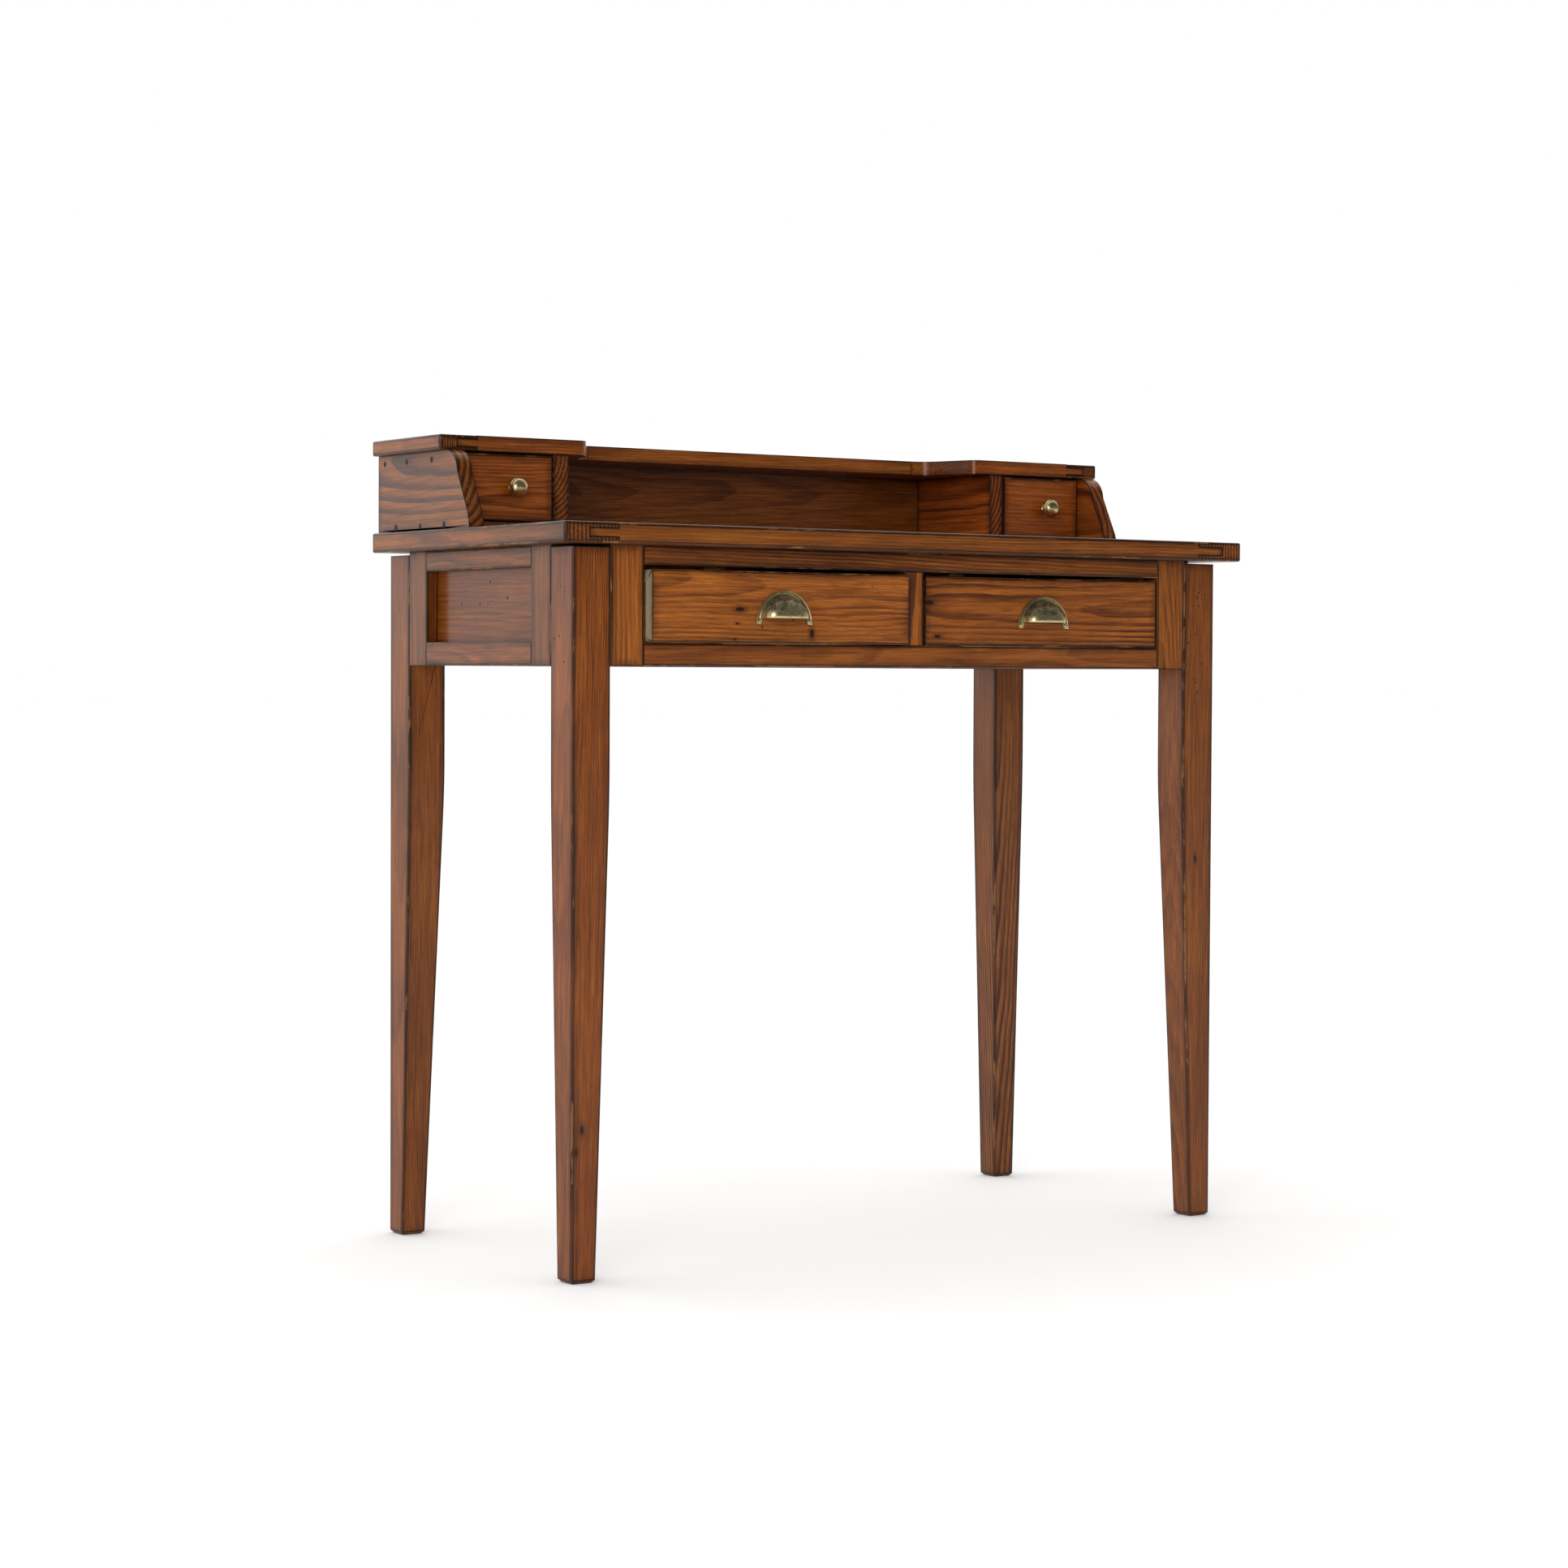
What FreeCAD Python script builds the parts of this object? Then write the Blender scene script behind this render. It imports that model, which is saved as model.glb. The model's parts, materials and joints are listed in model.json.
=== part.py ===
import FreeCAD, Part
import os
import re

import Sketcher

# A writing desk with a drawer gallery. Millimetres. +Z is up, the drawer fronts face -Y, X = 0 is the
# middle of the width, and the origin is the centre of the footprint on the floor.

DIMENSIONS = [
    # The desktop: boards along X, with a board along Y across each end.
    ("top_width", 900, "desktop, along X"),
    ("top_depth", 420, "desktop, along Y"),
    ("top_height", 777, "floor to the desktop's upper face"),
    ("top_thickness", 21.5, "desktop boards"),
    ("top_end_width", 63.5, "end board of the desktop"),
    ("top_tongue", 34.5, "tongue of the desktop boards in the end board"),
    ("tongue_thickness", 9, "tongue of the desktop boards"),
    ("top_board_count", 4, "boards between the end boards"),
    # The legs.
    ("leg_size", 45, "square leg at its top"),
    ("foot_size", 29, "square leg at the floor"),
    ("knee_height", 500, "where the taper has fully begun"),
    ("knee_length", 60, "length of the curve into the taper"),
    ("leg_gap", 3, "leg top to the underside of the desktop"),
    ("foot_chamfer", 3.5, "broken edge round the foot"),
    # The frame under the desktop.
    ("front_setback", 21.5, "desktop edge to the front of the frame and legs"),
    ("side_setback", 22, "desktop edge to the side of the frame and legs"),
    ("back_setback", 1, "desktop edge to the back of the frame and legs"),
    ("apron_height", 124, "height of the frame"),
    ("frame_thickness", 22, "frame boards"),
    ("stile_width", 39.5, "upright at each end of the front frame"),
    ("muntin_width", 25, "upright between the main drawers"),
    ("top_rail_height", 20.5, "front frame, over the drawers"),
    ("bottom_rail_height", 23.5, "front frame, under the drawers"),
    ("side_stile_width", 40, "uprights of a side frame"),
    ("side_top_rail_height", 22, "side frame"),
    ("side_bottom_rail_height", 25, "side frame"),
    ("panel_recess", 13.5, "face of a side frame to its panel"),
    ("panel_thickness", 6, "side frame panel"),
    ("panel_groove", 8, "depth of the groove that holds the panel"),
    ("tenon_length", 24, "tenons of the rails"),
    ("tenon_thickness", 8, "tenons of the rails"),
    ("tenon_shoulder", 5, "edge of the frame to a rail's tenon"),
    ("muntin_tenon", 10, "tenons of the muntin, length"),
    ("muntin_shoulder", 3, "edge of the muntin to its tenon"),
    ("runner_height", 16, "boards under the drawer sides"),
    ("guide_height", 30, "strips that keep a drawer straight"),
    ("bearing_width", 14, "how far a runner reaches under a drawer side"),
    ("slide_clearance", 0.5, "between a drawer and what it slides on or beside"),
    ("block_near", 52, "corner block: inside corner of the frame to the block's face by the leg"),
    ("block_far", 76, "corner block: inside corner of the frame to the line of its inner face"),
    ("block_reach", 58, "corner block: its reach along X, short of the drawers"),
    ("bolt_size", 8, "hanger bolt diameter"),
    ("bolt_length", 62, "hanger bolt"),
    ("bolt_tail", 4, "bolt past its nut"),
    ("bolt_level", 38, "bolts to the upper and lower face of the corner block"),
    ("washer_size", 16, "washer of a hanger bolt"),
    ("washer_thickness", 1.6, "washer of a hanger bolt"),
    ("nut_size", 14, "nut of a hanger bolt, across its corners"),
    ("nut_thickness", 6.5, "nut of a hanger bolt"),
    # The gallery that stands on the desktop.
    ("gallery_height", 84.8, "desktop to the underside of the gallery top"),
    ("gallery_top_thickness", 16.5, "gallery top boards"),
    ("gallery_depth", 156.5, "gallery top over the small drawers, along Y"),
    ("shelf_depth", 85, "gallery top between the small drawers, along Y"),
    ("gallery_end_width", 45.5, "end board of the gallery top"),
    ("gallery_tongue", 24.7, "tongue in the end board"),
    ("gallery_tongue_thickness", 8, "tongue in the end board"),
    ("wing_reach", 172, "desktop end to where a wing's front edge starts to curve"),
    ("wing_nose", 16, "radius of the wing's outer curve"),
    ("wing_hollow", 26, "radius of the wing's inner curve"),
    ("wing_angle", 71, "slope of the wing's edge between the two curves, in degrees"),
    ("side_inset", 8, "desktop end to the gallery side"),
    ("side_thickness", 18, "gallery side"),
    ("side_sweep", 49.7, "how far the gallery side stands in front of the gallery top at its foot"),
    ("shoulder_reach", 24, "round at the top of the gallery side's front edge, along Y and Z"),
    ("shoulder_radius", 26, "the same, its radius"),
    ("foot_curve_height", 17, "curve at the foot of that edge"),
    ("foot_curve_reach", 3.2, "the same, along Y"),
    ("foot_curve_radius", 38, "the same, its radius"),
    ("partition_thickness", 18.5, "board beside a small drawer"),
    ("bay_width", 115.7, "space for a small drawer"),
    ("bay_setback", 1.3, "gallery top edge to the small drawer fronts"),
    ("floor_thickness", 10, "board under a small drawer"),
    ("back_thickness", 8.5, "gallery back"),
    ("cleat_size", 18, "square strips under the gallery top"),
    ("cleat_setback", 20, "small drawer front to the strips"),
    ("nail_size", 2.2, "nail shank"),
    ("nail_head", 4.6, "nail head"),
    ("nail_length", 34, "nail"),
    ("nail_head_thickness", 0.8, "nail head"),
    # The two main drawers.
    ("drawer_gap", 3, "at each end of a main drawer front"),
    ("drawer_lift", 0.8, "under a main drawer front"),
    ("drawer_front_height", 75.2, "main drawer front"),
    ("drawer_front_thickness", 20, "main drawer front"),
    ("drawer_box_depth", 330, "main drawer box behind its front"),
    ("drawer_box_height", 60, "main drawer side"),
    ("drawer_wall", 12, "main drawer side and back"),
    ("drawer_bottom_thickness", 5, "main drawer bottom"),
    ("bottom_groove", 5, "depth of the groove that holds a drawer bottom"),
    ("bottom_lift", 6, "lower edge of a drawer side to its bottom"),
    ("drawer_ajar", 12, "how far the left main drawer stands open"),
    # The two small drawers.
    ("small_housing", 4, "how far a small drawer's sides enter its front"),
    ("drawer_housing", 5, "how far a main drawer's sides enter its front"),
    ("small_gap", 2.8, "at each end of a small drawer front"),
    ("small_front_height", 71.5, "small drawer front"),
    ("small_front_thickness", 16, "small drawer front"),
    ("small_lift", 1, "floor board to a small drawer"),
    ("small_box_depth", 118, "small drawer box behind its front"),
    ("small_box_height", 50, "small drawer side"),
    ("small_wall", 9, "small drawer side and back"),
    ("small_bottom_thickness", 4, "small drawer bottom"),
    # The cup pulls and the knobs.
    ("pull_radius", 35.2, "outside of the pull's rim"),
    ("pull_projection", 19.5, "drawer front to the foremost point of the cup"),
    ("pull_drop", 34, "top of the rim down to its feet"),
    ("pull_top", 19.5, "top of the drawer front down to the top of the rim"),
    ("cup_half_width", 28.5, "cup, outside"),
    ("cup_height", 23, "cup, outside, above its mouth"),
    ("cup_drop", 5.5, "top of the rim down to the top of the cup"),
    ("cup_wall", 1.6, "cup"),
    ("rim_thickness", 1.8, "flat rim on the drawer front"),
    ("post_size", 6, "threaded posts inside the cup"),
    ("post_spacing", 36, "threaded posts, centre to centre"),
    ("post_rise", 9.2, "cup's mouth up to the middle of the posts"),
    ("post_length", 12, "threaded posts"),
    ("screw_size", 4, "machine screws of the pulls and knobs"),
    ("screw_bite", 8, "machine screws in the posts and knobs"),
    ("screw_head", 8, "their heads"),
    ("screw_head_height", 2.2, "their heads"),
    ("knob_projection", 21, "drawer front to the top of the knob"),
    ("knob_offset", 6, "middle of a small drawer's front to its knob, the same way on both"),
    ("knob_dome", 6.5, "height of the knob's dome"),
    ("knob_dome_size", 21.3, "diameter at the foot of the dome"),
    ("knob_roll", 3, "radius of the round between the dome and the underside"),
    ("knob_roll_height", 4.5, "height of that round"),
    ("knob_under_size", 17.5, "diameter of the knob head's underside"),
    ("knob_under_rise", 0.5, "slope of the underside"),
    ("knob_neck", 8, "knob neck diameter"),
    ("knob_flare", 4, "drawer front to the end of the flare under the neck"),
    ("knob_base", 10.5, "knob base diameter"),
    ("knob_base_thickness", 1.2, "knob base"),
    # Woodscrews up through the kickers into the desktop, and up through the desktop into the gallery.
    ("woodscrew_size", 4, "shank"),
    ("woodscrew_head", 8, "head"),
    ("kicker_screw_length", 32, "woodscrews through the kickers"),
    ("gallery_screw_length", 40, "woodscrews through the desktop into the gallery"),
    # Broken edges.
    ("board_ease", 1.2, "round on the edges of the frame and drawer boards"),
    ("top_ease", 2.2, "round on the edges of the desktop and gallery top"),
    ("top_corner", 2.5, "round on the upright corners of the desktop and gallery top"),
    ("leg_ease", 2, "round on the edges of the legs"),
]

doc = FreeCAD.newDocument("writing_desk")
sheet = doc.addObject("Spreadsheet::Sheet", "Dimensions")
for row, (alias, value, note) in enumerate(DIMENSIONS, start=1):
    sheet.set(f"A{row}", note)
    sheet.set(f"B{row}", str(value))
    sheet.setAlias(f"B{row}", alias)
doc.recompute()

ALIAS = re.compile(r"\b(" + "|".join(alias for alias, _, _ in DIMENSIONS) + r")\b")
LEFT, RIGHT = -1, 1
SIDE_NAME = {LEFT: "left", RIGHT: "right"}
subparts = []


def dims(expression):
    """The expression with each alias written as a cell of the sheet."""
    return ALIAS.sub(r"Dimensions.\1", str(expression))


def number(expression):
    """What an expression on the sheet comes to."""
    result = sheet.evalExpression(dims(expression).replace("Dimensions.", ""))
    return float(getattr(result, "Value", result))


# ---- places that several sub-parts share, as expressions on the sheet ----

FRONT = "((drawer_ajar + pull_projection - front_setback - top_depth) / 2)"  # desktop's front edge
BACK = f"({FRONT} + top_depth)"
TOP_UNDER = "(top_height - top_thickness)"
APRON_UNDER = f"({TOP_UNDER} - apron_height)"
FRAME_FRONT = f"({FRONT} + front_setback)"
FRAME_BACK = f"({BACK} - back_setback)"
FRAME_SIDE = "(top_width / 2 - side_setback)"
LEG_INNER_X = f"({FRAME_SIDE} - leg_size)"
LEG_INNER_FRONT = f"({FRAME_FRONT} + leg_size)"
LEG_INNER_BACK = f"({FRAME_BACK} - leg_size)"
FRAME_INSIDE_FRONT = f"({FRAME_FRONT} + frame_thickness)"
FRAME_INSIDE_BACK = f"({FRAME_BACK} - frame_thickness)"
FRAME_INSIDE_X = f"({FRAME_SIDE} - frame_thickness)"
OPENING_OUTER = f"({LEG_INNER_X} - stile_width)"
OPENING_INNER = "(muntin_width / 2)"
OPENING_FLOOR = f"({APRON_UNDER} + bottom_rail_height)"
OPENING_CEILING = f"({TOP_UNDER} - top_rail_height)"
GALLERY_UNDER = "(top_height + gallery_height)"
GALLERY_FRONT = f"({BACK} - gallery_depth)"
SHELF_FRONT = f"({BACK} - shelf_depth)"
BAY_FRONT = f"({GALLERY_FRONT} + bay_setback)"
BAY_BACK = f"({BACK} - back_thickness)"
BAY_OUTER = "(top_width / 2 - side_inset - side_thickness)"
BAY_INNER = f"({BAY_OUTER} - bay_width)"
BAY_FLOOR = "(top_height + floor_thickness)"


def across(side, inner, outer):
    """The limits along X of something between two distances from the middle, on one side of it."""
    return (inner, outer) if side == RIGHT else (f"-({outer})", f"-({inner})")


# ---- building blocks ----

def box(name, x, y, z):
    """A box between two limits along each axis, each limit an expression."""
    made = doc.addObject("Part::Box", name)
    for size, axis, (low, high) in (("Length", "x", x), ("Width", "y", y), ("Height", "z", z)):
        made.setExpression(size, dims(f"({high}) - ({low})"))
        made.setExpression(f"Placement.Base.{axis}", dims(low))
    return made


ROD_AXIS = {
    "x": FreeCAD.Rotation(FreeCAD.Vector(0, 1, 0), 90),
    "-x": FreeCAD.Rotation(FreeCAD.Vector(0, 1, 0), -90),
    "y": FreeCAD.Rotation(FreeCAD.Vector(1, 0, 0), -90),
    "-y": FreeCAD.Rotation(FreeCAD.Vector(1, 0, 0), 90),
    "z": FreeCAD.Rotation(),
}


def rod(name, diameter, length, start, rotation):
    """A cylinder that starts at a point, given as three expressions, and runs along a turned Z axis."""
    made = doc.addObject("Part::Cylinder", name)
    made.setExpression("Radius", dims(f"({diameter}) / 2"))
    made.setExpression("Height", dims(length))
    made.Placement.Rotation = rotation
    for axis, place in zip("xyz", start):
        made.setExpression(f"Placement.Base.{axis}", dims(place))
    return made


def fuse(name, pieces):
    made = doc.addObject("Part::MultiFuse", name)
    made.Shapes = pieces
    return made


def cut(name, base, tool):
    made = doc.addObject("Part::Cut", name)
    made.Base = base
    made.Tool = tool
    return made


def group(name, pieces):
    made = doc.addObject("Part::Compound", name)
    made.Links = pieces
    return made


def carve(name, base, tools):
    """The base with each tool that reaches it taken out of it."""
    doc.recompute()
    tools = [tool for tool in tools if tool.Shape.BoundBox.intersect(base.Shape.BoundBox)]
    for count, tool in enumerate(tools, start=1):
        base = cut(f"{name}_cut_{count}", base, tool)
    return base


def ease(name, base, radius, wanted):
    """The base with a round on each straight edge that wanted(edge) picks."""
    doc.recompute()
    size = number(radius)
    picked = [
        (index, size, size)
        for index, edge in enumerate(base.Shape.Edges, start=1)
        if edge.Curve.TypeId == "Part::GeomLine" and wanted(edge)
    ]
    made = doc.addObject("Part::Fillet", name)
    made.Base = base
    made.Edges = picked
    return made


def corners_along(axis, blank):
    """Picks the edges along one axis, or along any of several, that lie on the corners of a blank's box."""
    doc.recompute()
    bounds = blank.Shape.BoundBox

    def on_corner(edge):
        middle = edge.CenterOfMass
        along = edge.tangentAt(edge.FirstParameter)
        for direction, others in (("x", "yz"), ("y", "xz"), ("z", "xy")):
            if direction in axis and abs(getattr(along, direction)) > 0.999:
                return all(
                    min(
                        abs(getattr(middle, other) - getattr(bounds, other.upper() + "Min")),
                        abs(getattr(middle, other) - getattr(bounds, other.upper() + "Max")),
                    ) < 0.01
                    for other in others
                )
        return False

    return on_corner


def subpart(label, made):
    """Names a finished sub-part."""
    made.Label = label
    subparts.append(made)
    return made


def plane_of(body, role):
    return next(item for item in body.Origin.OriginFeatures if item.Role == role)


def outline(body, name, role, corners):
    """A closed sketch on one of the body's planes. A corner is two expressions, and a third one bends the
    edge that leaves it into an arc of that radius, to the left of the way along when it is positive."""
    sketch = body.newObject("Sketcher::SketchObject", name)
    sketch.AttachmentSupport = (plane_of(body, role), [""])
    sketch.MapMode = "FlatFace"
    points = [FreeCAD.Vector(number(corner[0]), number(corner[1]), 0) for corner in corners]
    for index, corner in enumerate(corners):
        start, end = points[index], points[(index + 1) % len(points)]
        if len(corner) == 2:
            sketch.addGeometry(Part.LineSegment(start, end))
            continue
        radius = number(corner[2])
        chord = end - start
        normal = FreeCAD.Vector(-chord.y, chord.x, 0).normalize()
        rise = (abs(radius) ** 2 - (chord.Length / 2) ** 2) ** 0.5
        centre = (start + end) / 2 + normal * (rise if radius > 0 else -rise)
        middle = centre + ((start + end) / 2 - centre).normalize() * abs(radius)
        if radius < 0:  # a sketch's arcs run anticlockwise
            start, end = end, start
        sketch.addGeometry(Part.Arc(start, middle, end))
    for index, corner in enumerate(corners):
        place = 1 if sketch.Geometry[index].StartPoint.isEqual(points[index], 1e-6) else 2
        for kind, expression in (("DistanceX", corner[0]), ("DistanceY", corner[1])):
            held = sketch.addConstraint(
                Sketcher.Constraint(kind, -1, 1, index, place, number(expression))
            )
            sketch.setExpression(f"Constraints[{held}]", dims(expression))
        before = index - 1 if index else len(corners) - 1
        other = 2 if sketch.Geometry[before].EndPoint.isEqual(points[index], 1e-6) else 1
        sketch.addConstraint(Sketcher.Constraint("Coincident", before, other, index, place))
        if len(corner) == 3:
            held = sketch.addConstraint(Sketcher.Constraint("Radius", index, abs(number(corner[2]))))
            sketch.setExpression(f"Constraints[{held}]", dims(f"abs({corner[2]})"))
    return sketch


def pad(body, name, sketch, length):
    made = body.newObject("PartDesign::Pad", name)
    made.Profile = sketch
    made.setExpression("Length", dims(length))
    return made


# ---- fasteners: each one is also the tool that makes its own hole ----

def woodscrew(name, x, y, z, length):
    """A countersunk woodscrew that points up, its head's face at the point given."""
    head = doc.addObject("Part::Cone", f"{name}_head")
    head.setExpression("Radius1", dims("woodscrew_head / 2"))
    head.setExpression("Radius2", dims("woodscrew_size / 2"))
    head.setExpression("Height", dims("(woodscrew_head - woodscrew_size) / 2"))
    shank = rod(f"{name}_shank", "woodscrew_size", length, (x, y, z), ROD_AXIS["z"])
    for axis, place in zip("xyz", (x, y, z)):
        head.setExpression(f"Placement.Base.{axis}", dims(place))
    return fuse(name, [head, shank])


def nail(name, x, y, z, axis):
    """A nail with a flat head, driven along the axis, its head's face at the point given."""
    head = rod(f"{name}_head", "nail_head", "nail_head_thickness", (x, y, z), ROD_AXIS[axis])
    shank = rod(f"{name}_shank", "nail_size", "nail_length", (x, y, z), ROD_AXIS[axis])
    return fuse(name, [head, shank])


# ---- the legs and what holds them ----

def leg(side, end, bolts):
    """A square leg, sawn to a taper on its two inner faces, with holes for its two hanger bolts."""
    label = f"{'front' if end < 0 else 'back'}_{SIDE_NAME[side]}_leg"
    body = doc.addObject("PartDesign::Body", f"{label}_body")
    inward = {"x": -side, "y": -end}
    square = outline(body, f"{label}_plan", "XY_Plane", [
        ("0", "0"),
        (f"{inward['x']} * leg_size", "0"),
        (f"{inward['x']} * leg_size", f"{inward['y']} * leg_size"),
        ("0", f"{inward['y']} * leg_size"),
    ])
    pad(body, f"{label}_blank", square, f"{TOP_UNDER} - leg_gap")
    doc.recompute()
    slope = "(leg_size - foot_size) / knee_height"
    for axis, role in (("x", "XZ_Plane"), ("y", "YZ_Plane")):
        way = inward[axis]
        volume = body.Shape.Volume
        waste = outline(body, f"{label}_waste_{axis}", role, [
            (f"{way} * (leg_size + 1)", "-1"),
            (f"{way} * (leg_size + 1)", "knee_height + knee_length / 2"),
            (f"{way} * leg_size", "knee_height + knee_length / 2", f"{-way} * knee_length / ({slope})"),
            (f"{way} * (leg_size - {slope} * knee_length / 2)", "knee_height - knee_length / 2"),
            (f"{way} * (foot_size - {slope})", "-1"),
        ])
        taper = body.newObject("PartDesign::Pocket", f"{label}_taper_{axis}")
        taper.Profile = waste
        taper.Type = "ThroughAll"
        taper.Midplane = True
        doc.recompute()
        if body.Shape.Volume > volume * 0.98:
            raise RuntimeError(f"{label}: the taper along {axis} cuts nothing")
    foot = body.newObject("PartDesign::Chamfer", f"{label}_foot")
    foot.Base = (taper, [
        f"Edge{index}" for index, edge in enumerate(taper.Shape.Edges, start=1) if edge.BoundBox.ZMax < 0.01
    ])
    foot.setExpression("Size", dims("foot_chamfer"))
    doc.recompute()
    rounds = body.newObject("PartDesign::Fillet", f"{label}_rounds")
    rounds.Base = (foot, [
        f"Edge{index}" for index, edge in enumerate(foot.Shape.Edges, start=1)
        if edge.BoundBox.ZLength > number("foot_chamfer") * 2
    ])
    rounds.setExpression("Radius", dims("leg_ease"))
    body.setExpression("Placement.Base.x", dims(f"{side} * {FRAME_SIDE}"))
    body.setExpression("Placement.Base.y", dims(FRAME_FRONT if end < 0 else FRAME_BACK))
    subpart(label, carve(label, body, bolts))


def corner_block(side, end, bolts):
    """A block across an inside corner of the frame, drilled for the leg's bolts."""
    name = f"corner_block_{SIDE_NAME[side]}_{'front' if end < 0 else 'back'}"
    body = doc.addObject("PartDesign::Body", name)
    plan = outline(body, f"{name}_plan", "XY_Plane", [
        (f"{-side} * block_near", "0"),
        (f"{-side} * block_reach", "0"),
        (f"{-side} * block_reach", f"{-end} * (block_far - block_reach)"),
        ("0", f"{-end} * block_far"),
        ("0", f"{-end} * block_near"),
    ])
    pad(body, f"{name}_blank", plan, f"{TOP_UNDER} - {APRON_UNDER}")
    body.setExpression("Placement.Base.x", dims(f"{side} * {FRAME_INSIDE_X}"))
    body.setExpression("Placement.Base.y", dims(FRAME_INSIDE_FRONT if end < 0 else FRAME_INSIDE_BACK))
    body.setExpression("Placement.Base.z", dims(APRON_UNDER))
    return carve(name, body, bolts)


def hanger_bolts(side, end):
    """Two bolts that run diagonally from a corner block into its leg, and their washers and nuts."""
    outward = FreeCAD.Rotation(FreeCAD.Vector(0, 0, 1), FreeCAD.Vector(side, end, 0))
    corner = (f"{side} * {FRAME_INSIDE_X}", FRAME_INSIDE_FRONT if end < 0 else FRAME_INSIDE_BACK)
    bolts, rings = [], []
    for level, height in (("low", f"{APRON_UNDER} + bolt_level"), ("high", f"{TOP_UNDER} - bolt_level")):
        name = f"bolt_{SIDE_NAME[side]}_{'front' if end < 0 else 'back'}_{level}"

        def diagonal_rod(part, size, length, behind):
            """A rod whose back end stands that far behind the corner block's inner face."""
            inset = f"(block_far / 2 + ({behind}) / sqrt(2))"
            start = (f"{corner[0]} - {side} * {inset}", f"{corner[1]} - {end} * {inset}", height)
            return rod(f"{name}_{part}", size, length, start, outward)

        stack = "washer_thickness + nut_thickness"
        bolts.append(diagonal_rod("shank", "bolt_size", "bolt_length", f"{stack} + bolt_tail"))
        washer = diagonal_rod("washer", "washer_size", "washer_thickness", "washer_thickness")
        nut = doc.addObject("Part::Prism", f"{name}_nut")
        nut.Polygon = 6
        nut.setExpression("Circumradius", dims("nut_size / 2"))
        nut.setExpression("Height", dims("nut_thickness"))
        nut.Placement.Rotation = outward
        inset = f"(block_far / 2 + ({stack}) / sqrt(2))"
        start = (f"{corner[0]} - {side} * {inset}", f"{corner[1]} - {end} * {inset}", height)
        for axis, place in zip("xyz", start):
            nut.setExpression(f"Placement.Base.{axis}", dims(place))
        rings += [cut(f"{name}_drilled_{ring.Name}", ring, bolts[-1]) for ring in (washer, nut)]
    return bolts, rings


blocks, hardware = [], []
for side in (LEFT, RIGHT):
    for end in (-1, 1):
        bolts, rings = hanger_bolts(side, end)
        leg(side, end, bolts)
        blocks.append(corner_block(side, end, bolts))
        hardware += bolts + rings
subpart("corner_blocks", group("corner_blocks", blocks))
subpart("hanger_bolts", group("hanger_bolts", hardware))


# ---- the front frame ----

FRONT_FRAME_Y = (FRAME_FRONT, FRAME_INSIDE_FRONT)
TENON_Y = (
    f"{FRAME_FRONT} + (frame_thickness - tenon_thickness) / 2",
    f"{FRAME_FRONT} + (frame_thickness + tenon_thickness) / 2",
)
RAIL_HEIGHTS = {
    "top": (OPENING_CEILING, TOP_UNDER),
    "bottom": (APRON_UNDER, OPENING_FLOOR),
}
TENON_HEIGHTS = {
    "top": (OPENING_CEILING, f"{TOP_UNDER} - tenon_shoulder"),
    "bottom": (f"{APRON_UNDER} + tenon_shoulder", OPENING_FLOOR),
}
TENON_ROOT = 1  # how far a tenon is carried back into its own board, so that the two fuse


def eased_board(label, x, y, z, grain, tenons=(), mortises=(), radius="board_ease"):
    """A board with rounded long edges, with tenons added to it and mortises cut from it."""
    blank = box(f"{label}_blank", x, y, z)
    made = ease(f"{label}_eased", blank, radius, corners_along(grain, blank))
    if tenons:
        made = fuse(f"{label}_tenoned", [made, *tenons])
    return subpart(label, carve(label, made, mortises))


rail_tenons = {
    (level, side): box(
        f"{level}_rail_tenon_{SIDE_NAME[side]}",
        across(side, f"{OPENING_OUTER} - {TENON_ROOT}", f"{OPENING_OUTER} + tenon_length"), TENON_Y, heights,
    )
    for level, heights in TENON_HEIGHTS.items() for side in (LEFT, RIGHT)
}
muntin_tenons = {
    level: box(
        f"muntin_tenon_{level}",
        ("-muntin_width / 2 + muntin_shoulder", "muntin_width / 2 - muntin_shoulder"), TENON_Y, heights,
    )
    for level, heights in {
        "top": (f"{OPENING_CEILING} - {TENON_ROOT}", f"{OPENING_CEILING} + muntin_tenon"),
        "bottom": (f"{OPENING_FLOOR} - muntin_tenon", f"{OPENING_FLOOR} + {TENON_ROOT}"),
    }.items()
}
for level, heights in RAIL_HEIGHTS.items():
    eased_board(
        f"front_{level}_rail", (f"-{OPENING_OUTER}", OPENING_OUTER), FRONT_FRAME_Y, heights, "x",
        tenons=[rail_tenons[level, side] for side in (LEFT, RIGHT)], mortises=[muntin_tenons[level]],
    )
for side in (LEFT, RIGHT):
    eased_board(
        f"front_{SIDE_NAME[side]}_stile", across(side, OPENING_OUTER, LEG_INNER_X), FRONT_FRAME_Y,
        (APRON_UNDER, TOP_UNDER), "z", mortises=[rail_tenons[level, side] for level in RAIL_HEIGHTS],
    )
eased_board(
    "front_muntin", ("-muntin_width / 2", "muntin_width / 2"), FRONT_FRAME_Y,
    (OPENING_FLOOR, OPENING_CEILING), "z", tenons=list(muntin_tenons.values()),
)


# ---- the side frames and the back ----

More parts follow.
